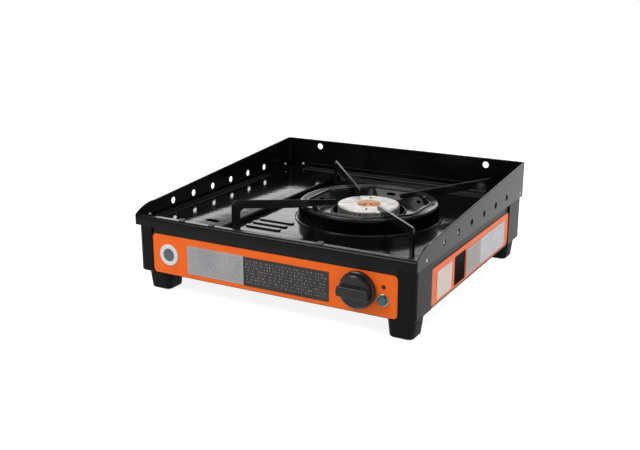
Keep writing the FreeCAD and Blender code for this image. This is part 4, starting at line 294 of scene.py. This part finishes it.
# Gas side: a tinplate cartridge in its trough, the zinc regulator with a ring magnet that holds the
# cartridge's collar, a brass valve behind the knob, and copper tubes bent between them. The spark
# parts beside them are nylon, glazed ceramic and silicone, and the pins and rivets are bright steel.
TIN_WHITE = ("#C6C9CC", "#D2D4D6")
CAST_ZINC = ("#8B8E91", "#9DA0A3")
BRASS = ("#C0974A", "#D0AC62")
COPPER = ("#B96F4A", "#CB8560")
MAGNET_GREY = ("#343537", "#434447")
PALE_PLASTIC = ("#C9C6BD", "#D4D1C9")
CERAMIC_WHITE = ("#E9E6DE", "#F1EFE9")
LEAD_RED = ("#8F2B23", "#A83A30")
STEEL_GREY = ("#A4A7AA", "#BCBFC2")
# Lacquered tinplate: a smooth coat with the faintest flow marks, about 6 mm apart.
tinplate = finish_of("lacquered_tinplate", TIN_WHITE, rough=(0.2, 0.28), grain=6.0, lift=0.01,
                     edge=0.3, coat=0.4)
dress(tinplate, "cartridge")
# Die-cast zinc: a dull metal with the small pits of the die, drawn 0.7 mm wide.
cast_zinc = finish_of("die_cast_zinc", CAST_ZINC, rough=(0.38, 0.52), grain=0.7, lift=0.02,
                      edge=0.4, metallic=1.0)
dress(cast_zinc, "regulator")
# Turned brass: fine rings of the lathe tool, drawn here as a grain squeezed along the axis.
turned_brass = finish_of("turned_brass", BRASS, rough=(0.22, 0.34), grain=0.4, lift=0.003,
                         stretch=(1, 6, 1), patch=6.0, edge=0.2, metallic=1.0)
dress(turned_brass, "gas_valve", "jet", "cartridge_stem")
# Drawn copper tube: streaks about 3 mm long, slightly dulled by handling.
drawn_copper = finish_of("drawn_copper_tube", COPPER, rough=(0.24, 0.4), grain=0.6, lift=0.002,
                         stretch=(0.2, 1, 1), patch=8.0, metallic=1.0)
dress(drawn_copper, "gas_inlet_tube", "jet_tube")
# Sintered ferrite magnet: dark and granular.
ferrite = finish_of("sintered_ferrite", MAGNET_GREY, rough=(0.5, 0.65), grain=0.4, lift=0.02,
                    metallic=0.4)
dress(ferrite, "regulator_magnet")
# Moulded nylon of the spark unit: pale and matt.
pale_nylon = finish_of("moulded_pale_nylon", PALE_PLASTIC, rough=(0.45, 0.55), grain=0.5, lift=0.006,
                       edge=0.4)
dress(pale_nylon, "piezo_unit")
# Glazed ceramic sleeve: smooth, white and a little wavy.
glazed_ceramic = finish_of("glazed_white_ceramic", CERAMIC_WHITE, rough=(0.12, 0.2), grain=2.0,
                           lift=0.01, edge=0.2)
dress(glazed_ceramic, "electrode_insulator")
# Silicone sheath of the ignition lead: dull red.
red_silicone = finish_of("red_silicone_sheath", LEAD_RED, rough=(0.45, 0.58), grain=0.8, lift=0.01)
dress(red_silicone, "ignition_lead")
# Drawn steel wire and pins: bright, with fine marks pulled out upright.
drawn_steel = finish_of("drawn_steel", STEEL_GREY, rough=(0.2, 0.34), grain=0.5, lift=0.003,
                        stretch=(1, 1, 0.2), patch=5.0, edge=0.2, metallic=1.0)
dress(drawn_steel, "lid_hinge_pins", "valve_spindle", "spark_wire", "windscreen_rivets")


# Tray: one steel pressing with a lip folded over the front, a ledge on the other three sides, an
# opening over the cartridge and one round the burner, dipped in glossy black glass enamel.
ENAMEL_BLACK = ("#050505", "#08080A")
WAVE_LENGTH = 14 * mm
WAVE_HEIGHT = 0.12 * mm
# Glass enamel: near-black, with the orange peel of the firing drawn at 2.5 mm. Its specular level is
# low because the photograph's surround is darker than this one, so upright faces would turn grey.
tray_enamel = finish_of("fired_black_enamel", ENAMEL_BLACK, rough=(0.07, 0.14), grain=2.5, lift=0.006,
                        edge=1.1, specular=0.12)
# A slow waviness of the enamelled sheet lies under the orange peel and bends its reflections.
tree = tray_enamel.node_tree
shader = tree.nodes["Principled BSDF"]
peel = shader.inputs["Normal"].links[0].from_socket
place = add(tree, "TexCoord").outputs["Object"]
wave = add(tree, "TexNoise", {"Vector": place, "Scale": 1 / WAVE_LENGTH, "Detail": 1.0}).outputs[0]
slow_bump = add(tree, "Bump", {"Height": wave, "Distance": WAVE_HEIGHT, "Strength": 1.0, "Normal": peel})
tree.links.new(slow_bump.outputs[0], shader.inputs["Normal"])
dress(tray_enamel, "tray")


# Wind ring: a pressed ring that stands round the burner and shields its flames. It is round outside,
# its mouth is an octagon with round corners, and a bowl with eight slots runs down to a lipped hole.
RING_SHEET = 1.0 * mm
RING_FLOOR = 72.0 * mm
RING_FOOT_EDGE = 88.0 * mm
RING_WALL_FOOT = 85.0 * mm
RING_WALL_TOP = 83.2 * mm
RING_TOP = 91.5 * mm
RING_DISH = 1.8 * mm
RING_MOUTH = 68.0 * mm
RING_MOUTH_CORNER = 14.0 * mm
# Corners of the bead at the mouth, each as far outside the mouth and as far below the ring's top.
RING_BEAD = [(3.4 * mm, RING_DISH), (1.8 * mm, 0.2 * mm), (-0.2 * mm, 0.2 * mm),
             (-1.0 * mm, RING_DISH + 0.8 * mm)]
RING_BOWL = 59.0 * mm
RING_BOWL_CORNER = 41.3 * mm
RING_BOWL_TOP = 78.0 * mm
RING_HOLE = 43.5 * mm
RING_LIP = 3.0 * mm
RING_BENDS = [1.0 * mm, 2.6 * mm, 1.2 * mm, 1.4 * mm, 1.1 * mm, 2.0 * mm, 4.0 * mm, 1.2 * mm]
# The outline starts to turn from a circle into the octagon this far inside the wall's top.
ROUND_RIM = 2.0 * mm
RING_ROWS = 26
BOWL_ROWS = 28
RING_COLUMNS = 448
SLOT_LENGTH = 11.0 * mm
SLOT_WIDTH = 3.0 * mm
# Points this near a slot's edge are drawn onto it. A hair allows for rounding in the sums.
SLOT_SNAP = 0.4 * mm
HAIR = 0.001 * mm
# Slots are sought no further outside the mouth than this, so that none is cut into the wall.
BOWL_MARGIN = 6.0 * mm
RING_BLACK = ("#030303", "#070707")


def rounded_path(points, bends, steps=7):
    """Open line through points in a plane, each inner corner replaced by an arc of its bend radius. An
    arc runs between its two tangent points, each bend times tan(half the turn) from the corner. Its points
    are its centre plus the radius along directions turned evenly from one tangent point to the other."""
    points = np.array(points, float)
    path = [points[:1]]
    for before, corner, after, bend in zip(points[:-2], points[1:-1], points[2:], bends):
        come = (corner - before) / np.linalg.norm(corner - before)
        go = (after - corner) / np.linalg.norm(after - corner)
        turn = np.arctan2(come[0] * go[1] - come[1] * go[0], come @ go)
        reach = bend * np.tan(abs(turn) / 2)
        side = np.array([-come[1], come[0]]) * np.sign(turn)
        centre = corner - come * reach + side * bend
        angle = np.linspace(0, turn, steps)
        start = -side * bend
        arc = np.column_stack([start[0] * np.cos(angle) - start[1] * np.sin(angle),
                               start[0] * np.sin(angle) + start[1] * np.cos(angle)])
        path.append(centre + arc)
    path.append(points[-1:])
    return np.concatenate(path)


def octagon_radius(turn, across, corner):
    """Distance from the centre to a rounded octagon: the flat's distance over the cosine of the angle
    from the flat's middle, or, past the flat's end, the far crossing with the corner's circle."""
    local = np.abs((turn + np.pi / 8) % (np.pi / 4) - np.pi / 8)
    flat_end = (across - corner) * np.tan(np.pi / 8)
    on_flat = across / np.cos(local)
    centre = (across - corner) / np.cos(np.pi / 8)
    away = np.pi / 8 - local
    half_chord = np.sqrt(np.maximum(corner ** 2 - (centre * np.sin(away)) ** 2, 0))
    on_corner = centre * np.cos(away) + half_chord
    return np.where(across * np.tan(local) < flat_end, on_flat, on_corner)


def ring_grid():
    """Distance, angle and height of the ring's upper skin, in rows from the foot's edge over the dished
    top and the bead at its mouth, and down the bowl to the lip. Each row blends from a circle to a rounded
    octagon, fully at the mouth and in the upper bowl, and back to a circle at the hole."""
    bead = [(RING_MOUTH + outside, RING_TOP - below) for outside, below in RING_BEAD]
    profile = rounded_path(
        [(RING_FOOT_EDGE, RING_FLOOR + RING_SHEET), (RING_WALL_FOOT, RING_FLOOR + RING_SHEET),
         (RING_WALL_TOP, RING_TOP), *bead, (RING_BOWL, RING_BOWL_TOP),
         (RING_HOLE + RING_SHEET, RING_BOWL_TOP), (RING_HOLE + RING_SHEET, RING_BOWL_TOP + RING_LIP)],
        RING_BENDS)
    steps = np.linalg.norm(np.diff(profile, axis=0), axis=1)
    along = np.concatenate([[0], np.cumsum(steps)])
    past_top = along > along[profile[:, 1].argmax()]
    bowl = along[past_top & (profile[:, 0] < RING_MOUTH) & (profile[:, 0] > RING_BOWL)]
    fine = np.unique(np.concatenate([along, np.linspace(0, along[-1], RING_ROWS),
                                     np.linspace(bowl[0], bowl[-1], BOWL_ROWS)]))
    radius = np.interp(fine, along, profile[:, 0])[:, None]
    height = np.interp(fine, along, profile[:, 1])[:, None]
    turn = (np.arange(RING_COLUMNS) * 2 * np.pi / RING_COLUMNS)[None, :]
    round_from = RING_WALL_TOP - ROUND_RIM
    towards_mouth = np.clip((round_from - radius) / (round_from - RING_MOUTH), 0, 1)
    down_bowl = np.clip((RING_MOUTH - radius) / (RING_MOUTH - RING_BOWL), 0, 1)
    corner = RING_MOUTH_CORNER + (RING_BOWL_CORNER - RING_MOUTH_CORNER) * down_bowl
    past_hole = np.clip((radius - RING_HOLE) / (RING_BOWL - RING_HOLE), 0, 1)
    reach = radius + (octagon_radius(turn, radius, corner) - radius) * towards_mouth * past_hole
    return np.broadcast_arrays(reach, turn, height)


# Heat-dulled enamel: the tray's black, but rougher and without its slow waves, from the flames beside it.
ring_enamel = finish_of("heat_dulled_black_enamel", RING_BLACK, rough=(0.1, 0.18), grain=2.5,
                        lift=0.006, specular=0.16)
reach, turn, height = ring_grid()
# Slots: each lies along one of the bowl's eight flats, as the points within half its width of a middle
# line. Grid points near its edge are drawn onto the edge, and faces wholly within it are left out.
slot_level = (RING_BOWL_TOP + RING_TOP) / 2
slot_half = SLOT_WIDTH / 2
slot_line = SLOT_LENGTH / 2 - slot_half
run = (RING_MOUTH - RING_BOWL) / (RING_TOP - RING_BOWL_TOP)
steep = math.hypot(1.0, run)
beside = ((turn + np.pi / 8) % (np.pi / 4) - np.pi / 8) * reach
above = (height - slot_level) * steep
past_line = beside - np.clip(beside, -slot_line, slot_line)
apart = np.maximum(np.hypot(past_line, above), HAIR)
on_bowl = reach < RING_MOUTH + BOWL_MARGIN
pull = np.where(on_bowl & (np.abs(apart - slot_half) < SLOT_SNAP), slot_half / apart, 1.0) - 1.0
turn = turn + past_line * pull / reach
height = height + above * pull / steep
reach = reach + above * pull / steep * run
in_slot = on_bowl & (apart * (1.0 + pull) < slot_half + HAIR)
low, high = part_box("burner_head")
burner_axis = (low + high) / 2
ring_points = np.stack([burner_axis.x + reach * np.cos(turn), burner_axis.y + reach * np.sin(turn),
                        height], axis=-1).reshape(-1, 3)
faces = band_faces(*reach.shape)
whole = faces[~in_slot.reshape(-1)[faces].all(axis=1)]
used, whole = np.unique(whole, return_inverse=True)
settle("wind_ring_pressing", ring_points[used], whole.reshape(-1, 4).tolist(), ring_enamel, "pan_support",
       ("wind_ring",), smooth=50.0, sheet=RING_SHEET)


# Burner: a cast aluminium cup on a folded bridge, with a cast cap whose side holds the flame ports
# and whose top has four short slots, round a domed brass insert browned by heat.
CAST_ALUMINIUM = ("#8E8E8C", "#A3A3A0")
CAP_ALUMINIUM = ("#BDBBB7", "#D6D4D0")
HEATED_BRASS = ("#A0602A", "#CF9A62")
# Sand-cast aluminium: grey metal with a grain of about 0.9 mm.
cast_aluminium = finish_of("cast_aluminium", CAST_ALUMINIUM, rough=(0.42, 0.55), grain=0.9, lift=0.03,
                           patch=8.0, edge=0.5, metallic=1.0)
dress(cast_aluminium, "burner_cup")
# Machined cap: brighter and smoother than the cup, in patches of about 9 mm.
cap_aluminium = finish_of("machined_cast_aluminium", CAP_ALUMINIUM, rough=(0.38, 0.5), grain=0.7,
                          lift=0.012, patch=9.0, edge=0.7, metallic=1.0)
dress(cap_aluminium, "burner_head")
# Brass insert: patches from straw to brown, as burners turn with heat.
heated_brass = finish_of("heat_browned_brass", HEATED_BRASS, rough=(0.3, 0.46), grain=0.8, lift=0.01,
                         patch=5.0, edge=0.4, metallic=1.0)
dress(heated_brass, "burner_centre")


# Windscreen: a bent strip of steel with a folded hem, riveted to the tray's flange on three sides,
# with a row of air holes in each side and two in the back. Sprayed gloss black.
SCREEN_BLACK = ("#060607", "#0A0A0B")
# Sprayed gloss paint: a light orange peel at 1.6 mm.
screen_paint = finish_of("gloss_black_sprayed_steel", SCREEN_BLACK, rough=(0.16, 0.26), grain=1.6,
                         lift=0.004, edge=0.7, specular=0.16)
dress(screen_paint, "windscreen")


# Lid over the cartridge: a crowned steel lid in the same enamel as the tray, with a finger recess
# near its front, hinged along its left edge on two pins.
dress(tray_enamel, "lid")


# Pan support: four steel strips on edge that rise outwards from the wind ring to a foot near each
# corner of the tray, whose tab stands in a slot of the tray. Enamelled black, rubbed by pans.
ARM_SHEET = 2.5 * mm
ARM_EDGE = 0.8 * mm
ARM_EDGE_ROWS = 6
ARM_START = 41.0 * mm
# Each arm's foot lies this far from the burner's axis to the side and in depth.
ARM_FOOT = (109.0 * mm, 121.0 * mm)
ARM_FOOT_WIDTH = 8.0 * mm
ARM_TOP_INNER = 95.5 * mm
ARM_TOP_OUTER = 105.0 * mm
ARM_SHOULDER = 4.0 * mm
ARM_NECK = 8.5 * mm
ARM_ELBOW = (5.0 * mm, 4.0 * mm)
# The straight underside lies just over the ring, and starts to rise outside it.
ARM_GAP = 0.2 * mm
ARM_RISE = RING_FOOT_EDGE + 6.0 * mm
ARM_SEAM = ARM_START + 20.0 * mm
TAB_WIDTH = 4.0 * mm
TAB_DEPTH = 3.0 * mm
ARM_BENDS = [0.9 * mm, 1.6 * mm, 2.2 * mm, 2.2 * mm, 0.9 * mm, 0.4 * mm, 0.9 * mm, 0.9 * mm, 0.4 * mm,
             0.9 * mm, 3.0 * mm, 3.0 * mm, 12.0 * mm]
ARM_BLACK = ("#0B0B0C", "#131314")


def strip_rows(outline, thickness, edge):
    """Rows of a flat strip with rounded edges: its outline, moved in along each point's normal by a
    quarter circle of the edge radius as the row nears either face of the strip."""
    ahead = np.roll(outline, -1, axis=0) - outline
    behind = outline - np.roll(outline, 1, axis=0)
    ahead /= np.linalg.norm(ahead, axis=1, keepdims=True)
    behind /= np.linalg.norm(behind, axis=1, keepdims=True)
    normal = np.stack([-(ahead + behind)[:, 1], (ahead + behind)[:, 0]], axis=-1)
    normal /= np.linalg.norm(normal, axis=1, keepdims=True)
    bend = np.linspace(0, np.pi / 2, ARM_EDGE_ROWS)
    insets = np.concatenate([edge * (1 - np.sin(bend)), edge * (1 - np.cos(bend))])
    sides = np.concatenate([-thickness / 2 + edge * (1 - np.cos(bend)),
                            thickness / 2 - edge * (1 - np.sin(bend))])
    return outline[None] + normal[None] * insets[:, None, None], sides


# Rubbed enamel: a little lighter and duller than the tray's, with a finer grain.
arm_enamel = finish_of("rubbed_black_enamel", ARM_BLACK, rough=(0.14, 0.26), grain=1.2, lift=0.006)
arm_reach = math.hypot(*ARM_FOOT)
outer = arm_reach + ARM_FOOT_WIDTH / 2
inner = arm_reach - ARM_FOOT_WIDTH / 2
tab = TAB_WIDTH / 2
under = RING_TOP + ARM_GAP
neck = ARM_TOP_OUTER - ARM_NECK
# Outline of an arm by distance from the axis and height, once round from a seam in its underside.
arm_points = [
    (ARM_SEAM, under), (ARM_START, under), (ARM_START, ARM_TOP_INNER),
    (outer - ARM_SHOULDER, ARM_TOP_OUTER), (outer, ARM_TOP_OUTER - ARM_SHOULDER), (outer, RING_FLOOR),
    (arm_reach + tab, RING_FLOOR), (arm_reach + tab, RING_FLOOR - TAB_DEPTH),
    (arm_reach - tab, RING_FLOOR - TAB_DEPTH), (arm_reach - tab, RING_FLOOR), (inner, RING_FLOOR),
    (inner, neck - ARM_ELBOW[1]), (inner - ARM_ELBOW[0], neck), (ARM_RISE, under), (ARM_SEAM, under)]
arm_outline = rounded_path(arm_points, ARM_BENDS)[:-1]
outlines, sides = strip_rows(arm_outline, ARM_SHEET, ARM_EDGE)
for corner, sign_x, sign_y in (("front_left", -1, -1), ("front_right", 1, -1), ("back_left", -1, 1),
                               ("back_right", 1, 1)):
    way = np.array([sign_x * ARM_FOOT[0], sign_y * ARM_FOOT[1]]) / arm_reach
    x = burner_axis.x + outlines[:, :, 0] * way[0] - sides[:, None] * way[1]
    y = burner_axis.y + outlines[:, :, 0] * way[1] + sides[:, None] * way[0]
    rows = np.stack([x, y, outlines[:, :, 1]], axis=-1)
    skin("arm_strip_" + corner, rows, arm_enamel, "pan_support", ("support_arm_" + corner,))


# Lip screws: three blackened steel screws with domed heads and cross recesses, through the tray's
# folded lip into the front sheet's flange.
LIP_SCREW_PLACES = (-114.0 * mm, -74.0 * mm, 63.0 * mm)
LIP_SCREW_HEAD = 3.6 * mm
LIP_SCREW_RIM = 1.0 * mm
LIP_SCREW_DOME = 1.1 * mm
LIP_SCREW_COLUMNS = 96
DOME_ROWS = 24
# Shares of the head's radius: the shank under it, and the small flat at the top of its dome.
SHANK_SHARE = 0.45
POLE_SHARE = 0.02
# The dome starts this share of a quarter turn up from the rim.
DOME_START = 0.05
CROSS_LENGTH = 2.0 * mm
CROSS_WIDTH = 0.45 * mm
CROSS_DEPTH = 0.9 * mm
# The cross is at full depth up to the first share of its half sizes and runs out at the second.
CROSS_FULL = 0.9
CROSS_END = 1.25


def screw_head(x, y, base):
    """Rows of a screw head from its shank up: a short wall, a dome whose height is the root of one less
    the squared share of its radius, and a cross sunk into it where both coordinates are inside an arm."""
    turn = np.linspace(0, 2 * np.pi, LIP_SCREW_COLUMNS, endpoint=False)
    dome = np.cos(np.linspace(DOME_START, 1.0, DOME_ROWS) * np.pi / 2)[:-1]
    share = np.concatenate([[SHANK_SHARE, 1.0, 1.0], dome, [POLE_SHARE]])
    level = np.concatenate([[0.0, 0.0, LIP_SCREW_RIM],
                            LIP_SCREW_RIM + LIP_SCREW_DOME * np.sqrt(1 - share[3:] ** 2)])[:, None]
    across = LIP_SCREW_HEAD * share[:, None] * np.cos(turn)[None]
    deep = LIP_SCREW_HEAD * share[:, None] * np.sin(turn)[None]
    arm_across = np.maximum(np.abs(across) / CROSS_LENGTH, np.abs(deep) / CROSS_WIDTH)
    arm_deep = np.maximum(np.abs(deep) / CROSS_LENGTH, np.abs(across) / CROSS_WIDTH)
    near = np.minimum(arm_across, arm_deep)
    sunk = np.clip((CROSS_END - near) / (CROSS_END - CROSS_FULL), 0, 1) * (level > LIP_SCREW_RIM)
    return np.stack([x + across, y + deep, base + level - CROSS_DEPTH * sunk], axis=-1)


low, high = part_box("lip_screws")
lip_top = high.z - LIP_SCREW_RIM - LIP_SCREW_DOME
for count, x in enumerate(LIP_SCREW_PLACES, 1):
    skin("lip_screw_" + str(count), screw_head(x, (low.y + high.y) / 2, lip_top), screw_steel, "stove",
         ("lip_screws",), smooth=30.0)


# Trim: painted orange steel plates on the front and the right side, each with plain thin plates in
# silver, black or pale film, and a plain round badge at the front's left end.
ORANGE = ("#FA681A", "#FD721F")
# A plain dark red dot, about 5 mm across, marks the igniter on the front plate.
DOT_RED = "#5E1D1C"
DOT_PLACE = (138.0 * mm, 54.0 * mm)
DOT_RADIUS = 2.6 * mm
DOT_SOLID = 0.9 * DOT_RADIUS
SILVER_FILM = ("#A3A4A8", "#B2B1B3")
BLACK_FILM = ("#2B2A2A", "#353332")
PALE_FILM = ("#C6C6D0", "#D2D1D8")
GREY_FILM = ("#A8A2A1", "#B3AEAD")
CREAM_FILM = ("#E0CCC2", "#E8D7CE")
# Share of each row's height that its dashes fill.
ROW_FILL = 0.45
BADGE_WHITE = ("#D9DADC", "#E4E5E7")
BADGE_BLUE = "#4B525F"
DISC_RADIUS = 7.7 * mm
DISC_SOLID = 7.4 * mm


def paint_over(material, mask, colour):
    """Lays a colour over a material's own where a mask is 1."""
    tree = material.node_tree
    base = tree.nodes["Principled BSDF"].inputs["Base Color"]
    over = add(tree, "MixRGB", {0: mask, 1: base.links[0].from_socket, 2: linear(colour)})
    tree.links.new(over.outputs[0], base)


def round_spot(tree, x, z, radius, solid):
    """1 in a round spot about x and z, seen from the front: the length of the way from its middle with
    the depth left out, turned from 0 at the radius to 1 at a slightly smaller solid radius."""
    place = add(tree, "TexCoord").outputs["Object"]
    moved = add(tree, "VectorMath", {0: place, 1: (x, 0.0, z)}, operation="SUBTRACT").outputs[0]
    flat = add(tree, "VectorMath", {0: moved, 1: (1.0, 0.0, 1.0)}, operation="MULTIPLY").outputs[0]
    away = add(tree, "VectorMath", {0: flat}, operation="LENGTH").outputs["Value"]
    return add(tree, "MapRange", {"Value": away, "From Min": radius, "From Max": solid}).outputs[0]


# Baked orange paint: a full colour with a soft shine and barely any texture.
orange_paint = finish_of("baked_orange_paint", ORANGE, rough=(0.3, 0.38), grain=1.4, lift=0.003,
                         edge=0.5, specular=0.2)
paint_over(orange_paint, round_spot(orange_paint.node_tree, *DOT_PLACE, DOT_RADIUS, DOT_SOLID), DOT_RED)
dress(orange_paint, "front_trim", "side_trim")


def film_of(name, node, shades, marks, pitch, dash, cover, across, border):
    """A thin satin film with rows of fine plain dashes, which stand for nothing. The rows are bands
    across the height at a pitch in mm, and the dashes are a noise stretched along them to a length in
    mm, kept where it is above a cover. A border in mm along each edge stays bare."""
    film = finish_of(name, shades, rough=(0.34, 0.44), grain=0.8, lift=0.002, specular=0.25)
    tree = film.node_tree
    place = add(tree, "SeparateXYZ", {"Vector": add(tree, "TexCoord").outputs["Object"]}).outputs
    band = add(tree, "Math", {0: place["Z"], 1: pitch * mm}, operation="DIVIDE").outputs[0]
    phase = add(tree, "Math", {0: band}, operation="FRACT").outputs[0]
    ink = add(tree, "Math", {0: phase, 1: ROW_FILL}, operation="LESS_THAN").outputs[0]
    number = add(tree, "Math", {0: band}, operation="FLOOR").outputs[0]
    step = add(tree, "Math", {0: place[across], 1: dash * mm}, operation="DIVIDE").outputs[0]
    cell = add(tree, "CombineXYZ", {"X": step, "Y": number}).outputs[0]
    noise = add(tree, "TexNoise", {"Vector": cell, "Scale": 1.0, "Detail": 3.0}).outputs[0]
    tests = [(noise, 1 - cover, "GREATER_THAN")]
    low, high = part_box(node)
    for axis in (across, "Z"):
        tests.append((place[axis], getattr(low, axis.lower()) + border * mm, "GREATER_THAN"))
        tests.append((place[axis], getattr(high, axis.lower()) - border * mm, "LESS_THAN"))
    for value, limit, rule in tests:
        passed = add(tree, "Math", {0: value, 1: limit}, operation=rule).outputs[0]
        ink = add(tree, "Math", {0: ink, 1: passed}, operation="MULTIPLY").outputs[0]
    paint_over(film, ink, marks)
    dress(film, node)


# Satin films: silver and black with rows of dashes 2 to 3.5 mm apart, drawn coarser than print so
# that they show, and pale, grey and cream ones on the side.
film_of("satin_silver_film", "front_silver_blank", SILVER_FILM, "#777577", pitch=2.2, dash=1.3,
        cover=0.5, across="X", border=2.2)
film_of("satin_black_film", "front_black_blank", BLACK_FILM, "#8D8885", pitch=3.4, dash=1.7,
        cover=0.46, across="X", border=2.6)
film_of("pale_side_film", "side_pale_blank", PALE_FILM, "#9295A3", pitch=4.0, dash=2.4,
        cover=0.46, across="Y", border=4.0)
film_of("grey_side_film", "side_grey_blank", GREY_FILM, "#7F7977", pitch=2.8, dash=1.5,
        cover=0.5, across="Y", border=3.0)
patch_film = finish_of("cream_side_film", CREAM_FILM, rough=(0.34, 0.44), grain=0.8, lift=0.002,
                       specular=0.25)
dress(patch_film, "side_patch")

# Badge: moulded white ring round a flat blue-grey disc, set apart by the distance from its middle.
badge_plastic = finish_of("moulded_white_badge", BADGE_WHITE, rough=(0.24, 0.32), grain=0.6, lift=0.002,
                          edge=0.2)
low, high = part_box("badge")
middle = (low + high) / 2
disc = round_spot(badge_plastic.node_tree, middle.x, middle.z, DISC_RADIUS, DISC_SOLID)
paint_over(badge_plastic, disc, BADGE_BLUE)
dress(badge_plastic, "badge")


# Knob: black ABS moulded with sixteen flutes and a grip bar across its face, pushed on the flat of
# the valve's spindle.
KNOB_BLACK = ("#0E0F11", "#151618")
# Moulded knob: a smooth satin plastic with soft edges, glossier than the corner covers.
knob_plastic = finish_of("moulded_knob_abs", KNOB_BLACK, rough=(0.2, 0.3), grain=0.5, lift=0.004,
                         edge=0.7, specular=0.3)
dress(knob_plastic, "knob")


# Igniter: a dark green-grey plastic push button with a domed face, in a satin plated ring on the
# front plate. Pressed, it fires the spark.
BUTTON_GREEN = ("#27464B", "#335358")
NICKEL_GREY = ("#7C8785", "#8C9694")
# Moulded button: satin, with a soft sheen on its dome.
button_plastic = finish_of("moulded_grey_green_button", BUTTON_GREEN, rough=(0.24, 0.34), grain=0.6,
                           lift=0.003, edge=0.4)
dress(button_plastic, "igniter_button")
# Satin nickel plating: grey with a broad soft shine and the faintest ripple.
nickel_plate = finish_of("satin_nickel_ring", NICKEL_GREY, rough=(0.26, 0.36), grain=1.5, lift=0.003,
                         edge=0.2, metallic=1.0)
dress(nickel_plate, "igniter_bezel")


# Lamps: a large soft box over the left shoulder, one straight above, one for the right side, and a
# low strip behind, which the glossy tray floor mirrors and the top edges catch as thin lines.
def lamp(name, place, aim, width, height, power):
    """Soft box of a width and height at a place, turned to face an aim, all in metres, of some watts."""
    data = bpy.data.lights.new(name, "AREA")
    data.shape = "RECTANGLE"
    data.size = width
    data.size_y = height
    data.energy = power
    made = bpy.data.objects.new(name, data)
    made.location = place
    made.rotation_mode = "QUATERNION"
    made.rotation_quaternion = (Vector(aim) - Vector(place)).to_track_quat("-Z", "Y")
    bpy.context.collection.objects.link(made)


lamp("key_box", place=(-0.7, -0.9, 1.5), aim=(0, 0, 0.05), width=0.9, height=0.9, power=19)
lamp("top_box", place=(0.1, 0.1, 1.5), aim=(0, 0, 0.08), width=0.8, height=0.8, power=8)
lamp("back_strip", place=(-0.8, 1.4, 0.36), aim=(0, 0, 0.08), width=1.8, height=0.5, power=6)
lamp("side_box", place=(1.5, -0.2, 0.9), aim=(0, 0, 0.05), width=0.8, height=0.8, power=7)


# Camera at the photograph's angle: 29 degrees round to the right and 16 degrees up. Its focal length
# is given in pixels of the photograph's width.
AZIMUTH = math.radians(28.95)
ELEVATION = math.radians(16.45)
DISTANCE = 1.1
AIM = Vector((-0.01022, -0.0262, 0.06254))
PHOTO_WIDTH = 640
FOCAL_PIXELS = 918.8
SENSOR = 36.0

camera_data = bpy.data.cameras.new("photo_camera")
camera_data.sensor_width = SENSOR
camera_data.lens = FOCAL_PIXELS / PHOTO_WIDTH * SENSOR
camera = bpy.data.objects.new("photo_camera", camera_data)
away = Vector((math.sin(AZIMUTH) * math.cos(ELEVATION), -math.cos(AZIMUTH) * math.cos(ELEVATION),
               math.sin(ELEVATION)))
camera.location = AIM + away * DISTANCE
camera.rotation_mode = "QUATERNION"
camera.rotation_quaternion = (-away).to_track_quat("-Z", "Y")
bpy.context.collection.objects.link(camera)
bpy.context.scene.camera = camera
bpy.context.scene.view_settings.view_transform = "Standard"


# The box round the finished stove, without the paper floor.
low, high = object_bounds()
